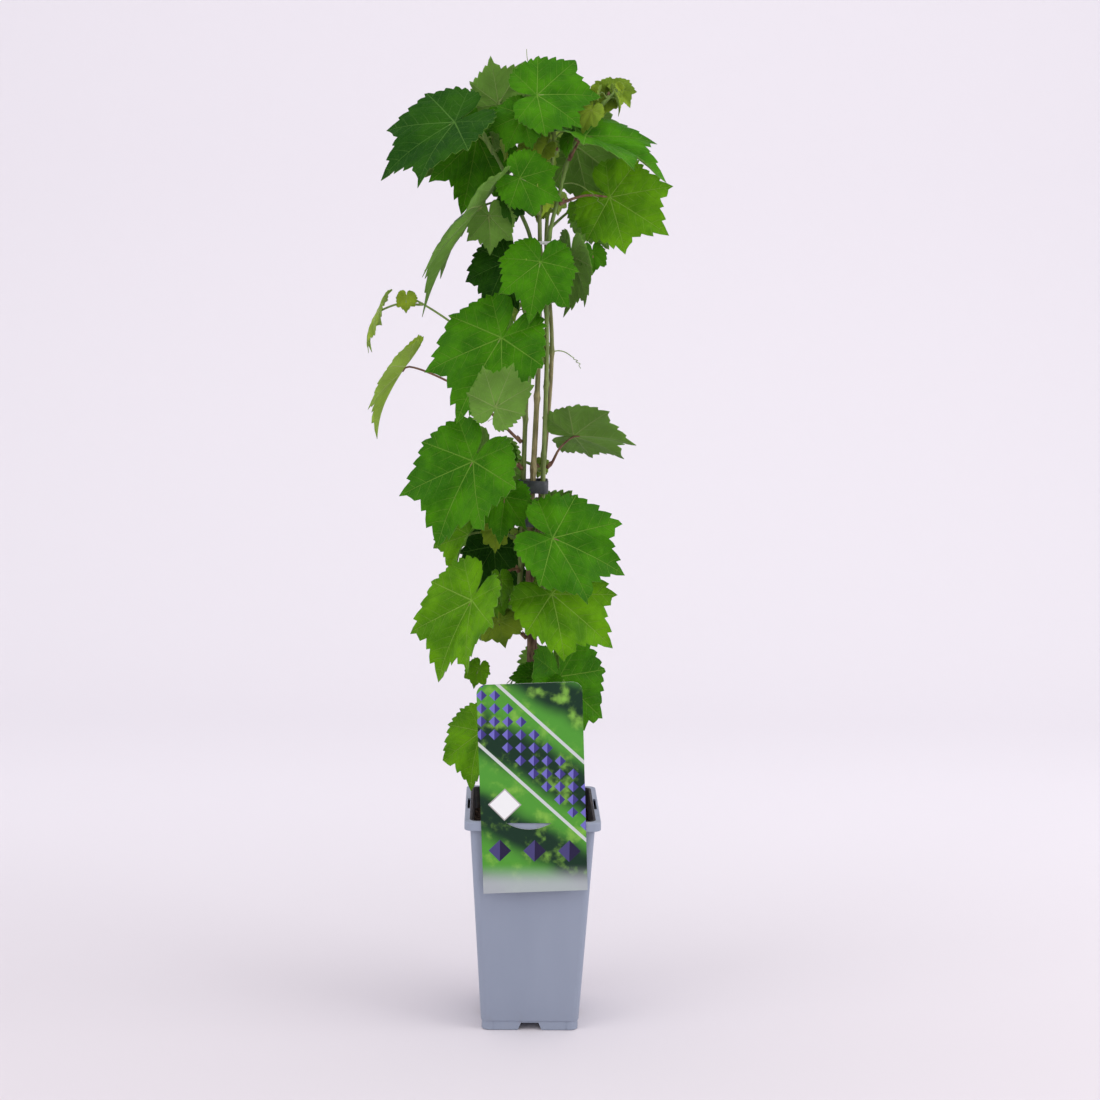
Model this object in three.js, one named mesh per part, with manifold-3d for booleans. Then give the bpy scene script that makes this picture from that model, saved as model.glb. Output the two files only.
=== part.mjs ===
// A young grapevine in a square tapered pot, as one assembly of named solids.
// Millimetres, +Z up, +X to the right of the front view, +Y away from the front.
// The origin is the middle of the pot's flat underside.
import * as THREE from 'three';
import { mergeVertices } from 'three/addons/utils/BufferGeometryUtils.js';
import Module from 'manifold-3d';

const wasm = await Module();
wasm.setup();

// ---------------------------------------------------------------- driving dimensions

const CLEARANCE = 0.3; // gap that neighbouring solids keep
const SIDE_CLIMB = 35; // degrees that a side limb rises as it leaves its parent

const POT = {
  height: 214,
  rimHalf: 65, // half the width across the lip
  topHalf: 59.6, // half the width of the body just under the lip
  footHalf: 47.6, // half the width of the body just above the foot band
  lipHeight: 8.5,
  lipWall: 1.7,
  wall: 1.9,
  bandHeight: 9.5,
  bandInset: 0.8,
  cornerRadius: 7,
  plateHeight: 9, // top of the floor plate
  plateThickness: 3,
  pocketHalf: 19, // half the side of each hollow under the floor
  pocketCentre: 25, // offset of each hollow from the middle
  drainRadius: 4,
  notchBottom: 24,
  notchTop: 17,
  notchHeight: 7.5,
  notchDepth: 7,
  slotLength: 36,
  slotWidth: 2.6,
};

const SOIL = { edge: 193, top: 197, crownHalf: 22 };

const LABEL = {
  width: 99,
  height: 203,
  centreX: -1,
  centreZ: 248,
  lean: 2.5, // degrees that its top leans to the left
  thickness: 1,
  cornerRadius: 9,
  tongueX: -4,
  tongueWidth: 44,
  tongueDrop: 6.5,
};

const LEAF = {
  thickness: 1.2,
  droop: 0.16, // how far the margin falls back, as a share of the blade
  innerRing: 0.52,
  petiole: 0.55, // petiole length as a share of the blade
  climb: 25, // degrees a petiole rises
};

// Half of the blade's margin, from the tip round to the notch at its base:
// degrees from the midrib, and the reach there as a share of the blade's length.
const MARGIN = [
  [0, 1], [12, 0.84], [25, 0.72], [38, 0.84], [50, 0.8], [64, 0.68],
  [80, 0.64], [97, 0.56], [116, 0.54], [138, 0.46], [160, 0.37], [177, 0.1],
];

const TWIG = { sides: 5, stemRadius: 1.6, petioleRadius: 1.15, tipRadius: 0.9, sunk: 6 };

// ---------------------------------------------------------------- finishes

const finish = (color, roughness) => new THREE.MeshStandardMaterial({ color, roughness, metalness: 0 });

const potPlastic = finish(0x9199ac, 0.5);
const soilFinish = finish(0x2a221c, 0.95);
const labelCard = finish(0x5f9a4a, 0.35);
const bark = finish(0x6b4a38, 0.9);
const greenWood = finish(0x7f8a4b, 0.6);
const tieWhite = finish(0xe9e9e6, 0.45);
const clipPlastic = finish(0x3d4043, 0.5);
const foliage = finish(0x5b8d38, 0.5);

// ---------------------------------------------------------------- small helpers

const vec = (x, y, z) => new THREE.Vector3(x, y, z);
const radians = THREE.MathUtils.degToRad;
const lerp = THREE.MathUtils.lerp;

function seeded(seed) {
  let state = seed >>> 0;
  return () => {
    state = (Math.imul(state, 1664525) + 1013904223) >>> 0;
    return state / 4294967296;
  };
}

function signedVolume(positions, triangles) {
  let sum = 0;
  const corner = (i) => vec(...positions.slice(3 * i, 3 * i + 3));
  for (let t = 0; t < triangles.length; t += 3) {
    const [a, b, c] = [0, 1, 2].map((k) => corner(triangles[t + k]));
    sum += a.dot(b.cross(c));
  }
  return sum / 6;
}

// A closed mesh from its corners and triangles, turned so that its faces point out.
function closedMesh(points, triangles) {
  const positions = points.flatMap((p) => [p.x, p.y, p.z]);
  const faces = [...triangles];
  if (signedVolume(positions, faces) < 0) {
    for (let t = 0; t < faces.length; t += 3) {
      [faces[t + 1], faces[t + 2]] = [faces[t + 2], faces[t + 1]];
    }
  }
  const geometry = new THREE.BufferGeometry();
  geometry.setAttribute('position', new THREE.Float32BufferAttribute(positions, 3));
  geometry.setIndex(faces);
  return geometry;
}

function toSolid(geometry) {
  const bare = geometry.clone();
  bare.deleteAttribute('normal');
  bare.deleteAttribute('uv');
  const merged = mergeVertices(bare);
  return new wasm.Manifold(new wasm.Mesh({
    numProp: 3,
    vertProperties: new Float32Array(merged.attributes.position.array),
    triVerts: new Uint32Array(merged.index.array),
  }));
}

function toGeometry(solid) {
  const mesh = solid.getMesh();
  const geometry = new THREE.BufferGeometry();
  geometry.setAttribute('position', new THREE.BufferAttribute(new Float32Array(mesh.vertProperties), 3));
  geometry.setIndex(new THREE.BufferAttribute(new Uint32Array(mesh.triVerts), 1));
  return geometry;
}

// Joins rings of equal count, lowest first, into one solid with a flat cap at each end.
function loft(rings) {
  const count = rings[0].length;
  const points = rings.flat();
  const triangles = [];
  for (let r = 0; r < rings.length - 1; r += 1) {
    for (let i = 0; i < count; i += 1) {
      const a = r * count + i;
      const b = r * count + ((i + 1) % count);
      triangles.push(a, b, b + count, a, b + count, a + count);
    }
  }
  const middle = (ring) => ring.reduce((sum, p) => sum.add(p), vec(0, 0, 0)).divideScalar(count);
  const first = points.push(middle(rings[0])) - 1;
  const last = points.push(middle(rings[rings.length - 1])) - 1;
  const top = (rings.length - 1) * count;
  for (let i = 0; i < count; i += 1) {
    const next = (i + 1) % count;
    triangles.push(first, next, i, last, top + i, top + next);
  }
  return closedMesh(points, triangles);
}

// A tapering round limb along a curve; the radii are spread evenly along it.
function limb(curve, radii, sides, steps) {
  const frames = curve.computeFrenetFrames(steps, false);
  const rings = [];
  for (let i = 0; i <= steps; i += 1) {
    const along = i / steps;
    const radius = radiusAt(radii, along);
    const centre = curve.getPointAt(along);
    const ring = [];
    for (let s = 0; s < sides; s += 1) {
      const angle = (2 * Math.PI * s) / sides;
      ring.push(centre.clone()
        .addScaledVector(frames.normals[i], radius * Math.cos(angle))
        .addScaledVector(frames.binormals[i], radius * Math.sin(angle)));
    }
    rings.push(ring);
  }
  return loft(rings);
}

function radiusAt(radii, along) {
  const place = along * (radii.length - 1);
  const index = Math.min(Math.floor(place), radii.length - 2);
  return lerp(radii[index], radii[index + 1], place - index);
}

const throughPoints = (points) => new THREE.CatmullRomCurve3(points, false, 'centripetal');

// ---------------------------------------------------------------- pot

// A square ring with round corners at one height.
function squareRing(half, z, radius = POT.cornerRadius, perCorner = 5) {
  const ring = [];
  for (let corner = 0; corner < 4; corner += 1) {
    const middle = radians(45 + 90 * corner);
    const cx = Math.sign(Math.cos(middle)) * (half - radius);
    const cy = Math.sign(Math.sin(middle)) * (half - radius);
    for (let i = 0; i < perCorner; i += 1) {
      const angle = radians(90 * corner + (90 * i) / (perCorner - 1));
      ring.push(vec(cx + radius * Math.cos(angle), cy + radius * Math.sin(angle), z));
    }
  }
  return ring;
}

const squareLoft = (profile) => toSolid(loft(
  profile.map(([half, z, radius]) => squareRing(half, z, radius)),
));

const boxSolid = (width, depth, height, x, y, z) =>
  toSolid(new THREE.BoxGeometry(width, depth, height).translate(x, y, z));

const innerHalf = (z) => lerp(
  POT.footHalf - POT.wall,
  POT.topHalf - POT.wall,
  (z - POT.plateHeight) / (POT.height - POT.plateHeight),
);

// A drain notch at the middle of one side's foot, as a cutter.
function notchCutter(quarter) {
  const outline = new THREE.Shape([
    new THREE.Vector2(-POT.notchBottom / 2, -1),
    new THREE.Vector2(POT.notchBottom / 2, -1),
    new THREE.Vector2(POT.notchTop / 2, POT.notchHeight),
    new THREE.Vector2(-POT.notchTop / 2, POT.notchHeight),
  ]);
  const cutter = new THREE.ExtrudeGeometry(outline, { depth: POT.notchDepth + 2, bevelEnabled: false });
  cutter.rotateX(Math.PI / 2);
  cutter.translate(0, -POT.footHalf + POT.notchDepth, 0);
  cutter.rotateZ((quarter * Math.PI) / 2);
  return toSolid(cutter);
}

function potGeometry() {
  const lipFoot = POT.height - POT.lipHeight;
  const bandHalf = POT.footHalf - POT.bandInset;
  const outside = squareLoft([
    [bandHalf, 0], [bandHalf, POT.bandHeight - 0.6], [POT.footHalf, POT.bandHeight],
    [POT.topHalf, lipFoot], [POT.rimHalf - 0.6, lipFoot + 0.01], [POT.rimHalf, lipFoot + 1],
    [POT.rimHalf, POT.height - 0.8], [POT.rimHalf - 0.8, POT.height],
  ]);
  const inside = squareLoft([
    [innerHalf(POT.plateHeight), POT.plateHeight, POT.cornerRadius - POT.wall],
    [innerHalf(POT.height + 1), POT.height + 1, POT.cornerRadius - POT.wall],
  ]);
  let pot = outside.subtract(inside);

  // The lip is a flange with a turned-down edge: the groove under it is open below.
  const grooveOuter = POT.rimHalf - POT.lipWall;
  const grooveInner = POT.topHalf + 0.5;
  const grooveTop = POT.height - POT.lipWall;
  const groove = squareLoft([[grooveOuter, lipFoot - 1], [grooveOuter, grooveTop]])
    .subtract(squareLoft([[grooveInner, lipFoot - 2], [grooveInner, grooveTop + 1]]));
  pot = pot.subtract(groove);

  for (let quarter = 0; quarter < 4; quarter += 1) {
    const slot = new THREE.BoxGeometry(POT.slotLength, POT.slotWidth, 4)
      .translate(0, -(grooveInner + grooveOuter) / 2, POT.height)
      .rotateZ((quarter * Math.PI) / 2);
    pot = pot.subtract(toSolid(slot)).subtract(notchCutter(quarter));
  }

  const pocketDepth = POT.plateHeight - POT.plateThickness;
  for (const x of [-POT.pocketCentre, POT.pocketCentre]) {
    for (const y of [-POT.pocketCentre, POT.pocketCentre]) {
      const side = 2 * POT.pocketHalf;
      pot = pot.subtract(boxSolid(side, side, 2 * pocketDepth, x, y, 0));
      const drain = new THREE.CylinderGeometry(POT.drainRadius, POT.drainRadius, 3 * POT.plateHeight, 10)
        .rotateX(Math.PI / 2)
        .translate(x, y, POT.plateHeight);
      pot = pot.subtract(toSolid(drain));
    }
  }
  return toGeometry(pot);
}

function soilGeometry() {
  const foot = POT.plateHeight + CLEARANCE;
  const radius = POT.cornerRadius - POT.wall;
  const half = (z) => innerHalf(z) - CLEARANCE;
  return loft([
    squareRing(half(foot), foot, radius),
    squareRing(half(SOIL.edge), SOIL.edge, radius),
    squareRing(0.7 * half(SOIL.edge), lerp(SOIL.edge, SOIL.top, 0.7), radius),
    squareRing(SOIL.crownHalf, SOIL.top, radius),
  ]);
}

// ---------------------------------------------------------------- label

// A card that stands in front of the rim. A tongue is cut out of it and bent back:
// it lies over the rim and hangs down inside, and carries the card.
function labelGeometry() {
  const front = -(POT.rimHalf + CLEARANCE + LABEL.thickness);
  const halfWidth = LABEL.width / 2;
  const halfHeight = LABEL.height / 2;
  const r = LABEL.cornerRadius;
  const outline = new THREE.Shape();
  outline.moveTo(-halfWidth, -halfHeight);
  outline.lineTo(halfWidth, -halfHeight);
  outline.lineTo(halfWidth, halfHeight - r);
  outline.absarc(halfWidth - r, halfHeight - r, r, 0, Math.PI / 2, false);
  outline.lineTo(-halfWidth + r, halfHeight);
  outline.absarc(-halfWidth + r, halfHeight - r, r, Math.PI / 2, Math.PI, false);
  outline.closePath();
  const card = new THREE.ExtrudeGeometry(outline, {
    depth: LABEL.thickness, bevelEnabled: false, curveSegments: 6,
  });
  card.rotateZ(radians(LABEL.lean));
  card.rotateX(Math.PI / 2);
  card.translate(LABEL.centreX, front + LABEL.thickness, LABEL.centreZ);

  const hinge = POT.height + CLEARANCE;
  const opening = new THREE.Shape();
  opening.moveTo(-LABEL.tongueWidth / 2, 0);
  opening.quadraticCurveTo(0, -2 * LABEL.tongueDrop, LABEL.tongueWidth / 2, 0);
  opening.closePath();
  const cutter = new THREE.ExtrudeGeometry(opening, { depth: 6, bevelEnabled: false, curveSegments: 10 });
  cutter.rotateX(Math.PI / 2);
  cutter.translate(LABEL.tongueX, front + 4, hinge);

  const tongueWidth = LABEL.tongueWidth - 2;
  const reach = POT.rimHalf - innerHalf(hinge - 2 * LABEL.tongueDrop) + LABEL.thickness + 2 * CLEARANCE;
  const over = boxSolid(
    tongueWidth, reach + LABEL.thickness, LABEL.thickness,
    LABEL.tongueX, front + (reach + LABEL.thickness) / 2, hinge + LABEL.thickness / 2,
  );
  const drop = boxSolid(
    tongueWidth - 8, LABEL.thickness, 2 * LABEL.tongueDrop,
    LABEL.tongueX, front + reach + LABEL.thickness / 2, hinge + LABEL.thickness - LABEL.tongueDrop,
  );
  return toGeometry(toSolid(card).subtract(toSolid(cutter)).add(over).add(drop));
}

// ---------------------------------------------------------------- trunk and shoots

const trunkFoot = SOIL.top + CLEARANCE;
const forkHeight = 452;

const limbs = {};

function addLimb(name, points, radii, sides, steps, material) {
  limbs[name] = { name, curve: throughPoints(points), radii, sides, steps, material };
}

// The place on a limb at one height: its centre, its direction and its radius there.
function onLimb(name, height) {
  const { curve, radii } = limbs[name];
  const steps = 400;
  let best = 0;
  for (let i = 0; i <= steps; i += 1) {
    const nearer = Math.abs(curve.getPointAt(i / steps).z - height)
      < Math.abs(curve.getPointAt(best / steps).z - height);
    best = nearer ? i : best;
  }
  return {
    centre: curve.getPointAt(best / steps),
    heading: curve.getTangentAt(best / steps),
    radius: radiusAt(radii, best / steps),
  };
}

// Where a side limb leaves its parent: up and out of its side, its end just clear of it.
function leaving(parent, height, towards, ownRadius) {
  const { centre, heading, radius } = onLimb(parent, height);
  const out = towards.clone().sub(centre);
  out.addScaledVector(heading, -out.dot(heading)).normalize();
  const climb = radians(SIDE_CLIMB);
  return {
    start: centre.clone().addScaledVector(out, radius + CLEARANCE + 0.1 + ownRadius * Math.sin(climb)),
    out: out.clone().multiplyScalar(Math.cos(climb)).addScaledVector(heading, Math.sin(climb)),
  };
}

addLimb('trunk', [
  vec(3, 0, trunkFoot), vec(3, 0, 225), vec(1, 0, 270),
  vec(-1, 0, 340), vec(-3, 0, 400), vec(-5, 0, forkHeight),
], [9.5, 6.4, 5.8, 5.4, 5.2, 5.1, 5.8, 4.8, 4.6, 4.5, 4.3], 10, 20, bark);

// Shoots that leave the trunk's side below the fork, and rise through the tie.
function addSideShoot(name, height, points, radii) {
  const { start, out } = leaving('trunk', height, points[0].clone().setZ(height), radii[0]);
  addLimb(name, [start, start.clone().addScaledVector(out, 5), ...points], radii, 7, 24, greenWood);
}

const fork = onLimb('trunk', forkHeight + 10);
addLimb('shoot-centre', [
  fork.centre.clone().addScaledVector(fork.heading, CLEARANCE),
  fork.centre.clone().addScaledVector(fork.heading, 15), vec(-4, -1, 520), vec(0, -3, 640), vec(0, -3, 757),
  vec(-3, 0, 820), vec(-10, 4, 875),
], [3.4, 3, 2.7, 2.4, 2.1, 1.7], 7, 22, bark);
addSideShoot('shoot-left', 425, [
  vec(-13, 4, 460), vec(-12, 5, 560), vec(-9, 4, 680), vec(-8, 3, 757),
  vec(-21, 0, 790), vec(-36, -3, 825), vec(-60, -5, 866),
], [2.8, 2.6, 2.4, 2.2, 2, 1.6]);
addSideShoot('shoot-right', 412, [
  vec(6, -3, 450), vec(6, -4, 520), vec(8, -4, 640), vec(8, -3, 757),
  vec(17, -2, 800), vec(30, -2, 848), vec(52, -4, 880), vec(70, -5, 898),
], [2.7, 2.5, 2.3, 2.1, 1.9, 1.5]);
addSideShoot('shoot-back', 398, [
  vec(-1, 13, 440), vec(8, 13, 560), vec(13, 12, 660), vec(6, 8, 757),
  vec(10, 16, 820), vec(13, 24, 872),
], [2.7, 2.5, 2.3, 2.1, 1.9, 1.5]);

// ---------------------------------------------------------------- ties

// The smallest convex loop round a set of points in the plane.
function convexLoop(points) {
  const sorted = [...points].sort((a, b) => a.x - b.x || a.y - b.y);
  const half = (list) => list.reduce((chain, p) => {
    while (chain.length > 1) {
      const [a, b] = chain.slice(-2);
      if ((b.x - a.x) * (p.y - a.y) - (b.y - a.y) * (p.x - a.x) > 0) break;
      chain.pop();
    }
    return [...chain, p];
  }, []);
  const lower = half(sorted);
  const upper = half([...sorted].reverse());
  return [...lower.slice(0, -1), ...upper.slice(0, -1)];
}

const TIE_MARGIN = 0.9; // its corners lie on the shoots' circles, so this leaves the clearance

// A band that lies snugly round all four shoots at one height.
function tieGeometry(height, depth, thickness) {
  const loopAt = (margin) => {
    const rims = [];
    for (const name of ['shoot-centre', 'shoot-left', 'shoot-right', 'shoot-back']) {
      for (const z of [height - depth / 2, height + depth / 2]) {
        const { centre, radius } = onLimb(name, z);
        for (let i = 0; i < 12; i += 1) {
          const angle = (2 * Math.PI * i) / 12;
          rims.push(new THREE.Vector2(
            centre.x + (radius + margin) * Math.cos(angle),
            centre.y + (radius + margin) * Math.sin(angle),
          ));
        }
      }
    }
    return convexLoop(rims);
  };
  const band = new THREE.Shape(loopAt(TIE_MARGIN + thickness));
  band.holes.push(new THREE.Path(loopAt(TIE_MARGIN)));
  const geometry = new THREE.ExtrudeGeometry(band, { depth, bevelEnabled: false });
  return geometry.translate(0, 0, height - depth / 2);
}

// ---------------------------------------------------------------- leaves and their twigs

// The directions of a blade. look: degrees round from the front that its face turns to the
// right; lift: degrees that the face tips up; swing: degrees that the tip hangs to the left
// of straight down, seen from its face.
function bladeFrame({ look, lift, swing }) {
  const [a, b, c] = [look, lift, swing].map(radians);
  const face = vec(Math.sin(a) * Math.cos(b), -Math.cos(a) * Math.cos(b), Math.sin(b));
  const downhill = vec(0, 0, -1).addScaledVector(face, face.z).normalize();
  const left = vec(0, 0, 0).crossVectors(downhill, face);
  const midrib = downhill.multiplyScalar(Math.cos(c)).addScaledVector(left, Math.sin(c));
  const across = vec(0, 0, 0).crossVectors(face, midrib);
  return { face, midrib, across };
}

// A leaf blade: a lobed plate, folded along its midrib and drooping at its margin.
function bladeSolid(leaf, base) {
  const { face, midrib, across } = bladeFrame(leaf);
  const fold = radians(leaf.fold);
  const place = (degrees, reach, offset) => {
    const along = reach * leaf.size * Math.cos(radians(degrees));
    const aside = reach * leaf.size * Math.sin(radians(degrees)) * leaf.breadth;
    const side = Math.abs(degrees) % 180 < 1 ? 0 : Math.sign(aside);
    const outward = across.clone().multiplyScalar(side * Math.cos(fold))
      .addScaledVector(face, Math.sin(fold));
    const normal = face.clone().multiplyScalar(side ? Math.cos(fold) : 1)
      .addScaledVector(across, -side * Math.sin(fold));
    return base.clone()
      .addScaledVector(midrib, along)
      .addScaledVector(outward, Math.abs(aside))
      .addScaledVector(normal, offset - LEAF.droop * leaf.size * reach * reach);
  };
  const left = MARGIN.slice(1, -1).map(([angle, reach]) => [-angle, reach]).reverse();
  const margin = [[-180, MARGIN.at(-1)[1]], ...left, ...MARGIN.slice(0, -1)];
  const count = margin.length;
  const inner = margin.filter((_, i) => i % 2 === 0);
  const points = [];
  for (const offset of [LEAF.thickness / 2, -LEAF.thickness / 2]) {
    points.push(place(0, 0, offset));
    points.push(...inner.map(([angle, reach]) => place(angle, reach * LEAF.innerRing, offset)));
    points.push(...margin.map(([angle, reach]) => place(angle, reach, offset)));
  }
  const sheet = 1 + inner.length + count;
  const triangles = [];
  for (const [side, flip] of [[0, false], [sheet, true]]) {
    const add = (a, b, c) => triangles.push(...(flip ? [a, c, b] : [a, b, c]).map((v) => v + side));
    for (let i = 0; i < inner.length; i += 1) {
      const here = 1 + i;
      const next = 1 + ((i + 1) % inner.length);
      const rim = 1 + inner.length;
      const [m0, m1, m2] = [0, 1, 2].map((k) => rim + ((2 * i + k) % count));
      add(0, here, next);
      add(here, m0, m1);
      add(here, m1, next);
      add(next, m1, m2);
    }
  }
  for (let i = 0; i < count; i += 1) {
    const a = 1 + inner.length + i;
    const b = 1 + inner.length + ((i + 1) % count);
    triangles.push(a, a + sheet, b, b, a + sheet, b + sheet);
  }
  return toSolid(closedMesh(points, triangles));
}

// The stalk of a leaf, from its root to the underside of the blade, and on as its midrib.
function stalkCurve(root, heading, leaf, base) {
  const { face, midrib } = bladeFrame(leaf);
  const length = root.distanceTo(base);
  const behind = base.clone().addScaledVector(face, -1.2);
  const arch = root.clone().lerp(behind, 0.5).add(vec(0, 0, 0.1 * length));
  return throughPoints([
    root, root.clone().addScaledVector(heading, 4), arch, behind,
    base.clone().addScaledVector(midrib, TWIG.sunk).addScaledVector(face, -0.3),
  ]);
}

// One mass of foliage: a side stem that leaves its limb and carries the first leaf at its
// end, and further leaves on stalks that branch from it to alternate sides.
function massGeometry(mass, index) {
  const random = seeded(1000 + 77 * index);
  const first = dressed(mass.leaves[0], random);
  const end = vec(...mass.to);
  const { start, out } = leaving(mass.limb, mass.from, end, TWIG.stemRadius);
  const stem = stalkCurve(start, out, first, end);
  const stemRadii = [TWIG.stemRadius, TWIG.petioleRadius, TWIG.tipRadius];
  let solid = toSolid(limb(stem, stemRadii, TWIG.sides, 7)).add(bladeSolid(first, end));
  mass.leaves.slice(1).forEach((entry, i, list) => {
    const leaf = dressed(entry, random);
    const along = entry.root ?? lerp(0.85, 0.25, (i + 1) / (list.length + 1));
    const root = stem.getPointAt(along);
    const a = radians(entry.turn);
    const b = radians(entry.climb ?? LEAF.climb);
    const heading = vec(Math.sin(a) * Math.cos(b), -Math.cos(a) * Math.cos(b), Math.sin(b));
    const base = root.clone().addScaledVector(heading, leaf.size * (entry.petiole ?? LEAF.petiole));
    const stalk = stalkCurve(root, heading, leaf, base);
    const stalkRadii = [TWIG.petioleRadius, TWIG.tipRadius];
    solid = solid.add(toSolid(limb(stalk, stalkRadii, TWIG.sides, 5))).add(bladeSolid(leaf, base));
  });
  return toGeometry(solid);
}

// A leaf's own shape: what its entry leaves open is drawn by the seeded rule.
function dressed(entry, random) {
  const draw = [random(), random(), random()];
  return {
    size: entry.size,
    look: entry.look,
    swing: entry.swing,
    lift: entry.lift ?? 12 + 14 * draw[0],
    fold: entry.fold ?? 4 + 10 * draw[1],
    breadth: (entry.breadth ?? 1) * (0.94 + 0.12 * draw[2]),
  };
}

// ---------------------------------------------------------------- the masses of foliage

const masses = [
  { name: 'leaves-foot-left', limb: 'trunk', from: 270, to: [-50, -15, 290], leaves: [
    { size: 55, look: -40, swing: 5, fold: 15 },
    { size: 20, turn: -40, look: -30, swing: 10, climb: 75, petiole: 3.4, root: 0.75 }] },
  { name: 'leaves-foot-right', limb: 'trunk', from: 320, to: [25, -15, 345], leaves: [
    { size: 80, look: 35, swing: -10, fold: 20, lift: 5, breadth: 0.85 },
    { size: 35, turn: -30, look: 0, swing: 50, lift: 60 }] },
  { name: 'leaves-low-left', limb: 'shoot-left', from: 445, to: [-60, -50, 425], leaves: [
    { size: 80, look: -40, swing: 20, fold: 25, breadth: 0.8 }] },
  { name: 'leaves-low-side', limb: 'shoot-left', from: 475, to: [-65, 0, 480], leaves: [
    { size: 45, look: -55, swing: 20, fold: 40 }] },
  { name: 'leaves-low-centre', limb: 'shoot-back', from: 445, to: [-40, 25, 465], leaves: [
    { size: 60, look: -10, swing: -5, fold: 15, lift: 5, breadth: 0.8 }] },
  { name: 'leaves-low-right', limb: 'shoot-right', from: 440, to: [15, -40, 430], leaves: [
    { size: 70, look: 5, swing: -50, lift: 20 }] },
  { name: 'leaves-low-shade', limb: 'trunk', from: 380, to: [-35, 5, 395], leaves: [
    { size: 30, look: -10, swing: -20, lift: 50 }] },
  { name: 'leaves-mid-right', limb: 'shoot-right', from: 470, to: [15, -50, 485], leaves: [
    { size: 75, look: 10, swing: -65, lift: 25, breadth: 0.9 }] },
  { name: 'leaves-mid-left', limb: 'shoot-left', from: 545, to: [-60, -40, 555], leaves: [
    { size: 80, look: -25, swing: 20, fold: 20 }] },
  { name: 'leaves-mid-centre', limb: 'shoot-centre', from: 505, to: [-30, -25, 520], leaves: [
    { size: 40, look: -5, swing: 5 }] },
  { name: 'leaves-mid-side', limb: 'shoot-back', from: 545, to: [35, 10, 575], leaves: [
    { size: 60, look: 165, swing: 95, lift: 50, fold: 15 }] },
  { name: 'leaves-upper-left', limb: 'shoot-centre', from: 640, to: [-35, -40, 670], leaves: [
    { size: 85, look: -20, swing: 25, fold: 15, breadth: 0.9 },
    { size: 45, turn: -20, look: 180, swing: 160, lift: 10, climb: -60, petiole: 1.2 }] },
  { name: 'leaves-side-shoot', limb: 'shoot-left', from: 610, to: [-125, 5, 705], leaves: [
    { size: 15, look: 0, swing: 0 },
    { size: 55, turn: -85, look: -85, swing: 50, fold: 0, breadth: 0.6, petiole: 0.8, climb: -10,
      root: 0.85 }] },
  { name: 'leaves-far-left', limb: 'shoot-left', from: 570, to: [-125, 0, 640], leaves: [
    { size: 70, look: -90, swing: 10, fold: 60, breadth: 0.45, lift: 35 }] },
  { name: 'leaves-waist-front', limb: 'shoot-centre', from: 715, to: [0, -40, 740], leaves: [
    { size: 55, look: 0, swing: 10, lift: 30, breadth: 0.9 }] },
  { name: 'leaves-waist-left', limb: 'shoot-left', from: 690, to: [-30, -10, 740], leaves: [
    { size: 50, look: -25, swing: 25, fold: 10 }] },
  { name: 'leaves-waist-right', limb: 'shoot-right', from: 725, to: [30, -5, 745], leaves: [
    { size: 55, look: 120, swing: -10, fold: 10, lift: 10, breadth: 0.85 },
    { size: 20, turn: 85, look: 20, swing: 0, climb: 20, petiole: 1.5 }] },
  { name: 'leaves-crown-left', limb: 'shoot-left', from: 860, to: [-80, -25, 865], leaves: [
    { size: 80, look: -20, swing: 50, lift: 40, fold: 15, breadth: 0.75 }] },
  { name: 'leaves-crown-under', limb: 'shoot-left', from: 840, to: [-60, 20, 855], leaves: [
    { size: 70, look: 10, swing: 10, fold: 15, breadth: 0.8, lift: 5 }] },
  { name: 'leaves-crown-hanging', limb: 'shoot-left', from: 790, to: [-55, -35, 790], leaves: [
    { size: 110, look: -100, swing: 5, lift: 40, fold: 25, breadth: 0.5 },
    { size: 35, turn: -30, look: 170, swing: 0, climb: -40, root: 0.5 }] },
  { name: 'leaves-crown-centre', limb: 'shoot-centre', from: 785, to: [-20, -45, 815], leaves: [
    { size: 40, look: 5, swing: -65 }] },
  { name: 'leaves-crown-top', limb: 'shoot-centre', from: 860, to: [-5, -30, 890], leaves: [
    { size: 55, look: 0, swing: -95, lift: 25 }] },
  { name: 'leaves-crown-top-left', limb: 'shoot-centre', from: 845, to: [-40, 25, 885], leaves: [
    { size: 45, look: 180, swing: 150, lift: 10 }] },
  { name: 'leaves-crown-right', limb: 'shoot-right', from: 835, to: [40, -25, 855], leaves: [
    { size: 80, look: 20, swing: -55, lift: 60, fold: 35, breadth: 0.6 }] },
  { name: 'leaves-crown-low-right', limb: 'shoot-right', from: 795, to: [65, 5, 800], leaves: [
    { size: 60, look: -10, swing: -60, lift: 15 }] },
  { name: 'leaves-tip-right', limb: 'shoot-right', from: 890, to: [60, 10, 895], leaves: [
    { size: 30, look: 10, swing: 50, lift: 5 }, { size: 20, turn: 110, look: 20, swing: -40 }] },
  { name: 'leaves-flank-foot', limb: 'trunk', from: 290, to: [-25, 25, 310], leaves: [
    { size: 45, look: -95, swing: -5, lift: 10 }] },
  { name: 'leaves-flank-low', limb: 'shoot-right', from: 460, to: [40, 10, 485], leaves: [
    { size: 50, look: 85, swing: 10, lift: 10 }] },
  { name: 'leaves-flank-left', limb: 'shoot-left', from: 510, to: [-70, 0, 555], leaves: [
    { size: 40, look: -85, swing: 5, lift: 10 }] },
];

// Behind, the plant goes on as it does in front: each of these masses has a fellow that
// springs from the back of the bundle, hangs the same way and faces away.
const BACK = { depth: [40, 52], inwards: 0.82, share: 0.8, lower: 6, drop: [14, 30], lowest: 405 };
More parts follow.
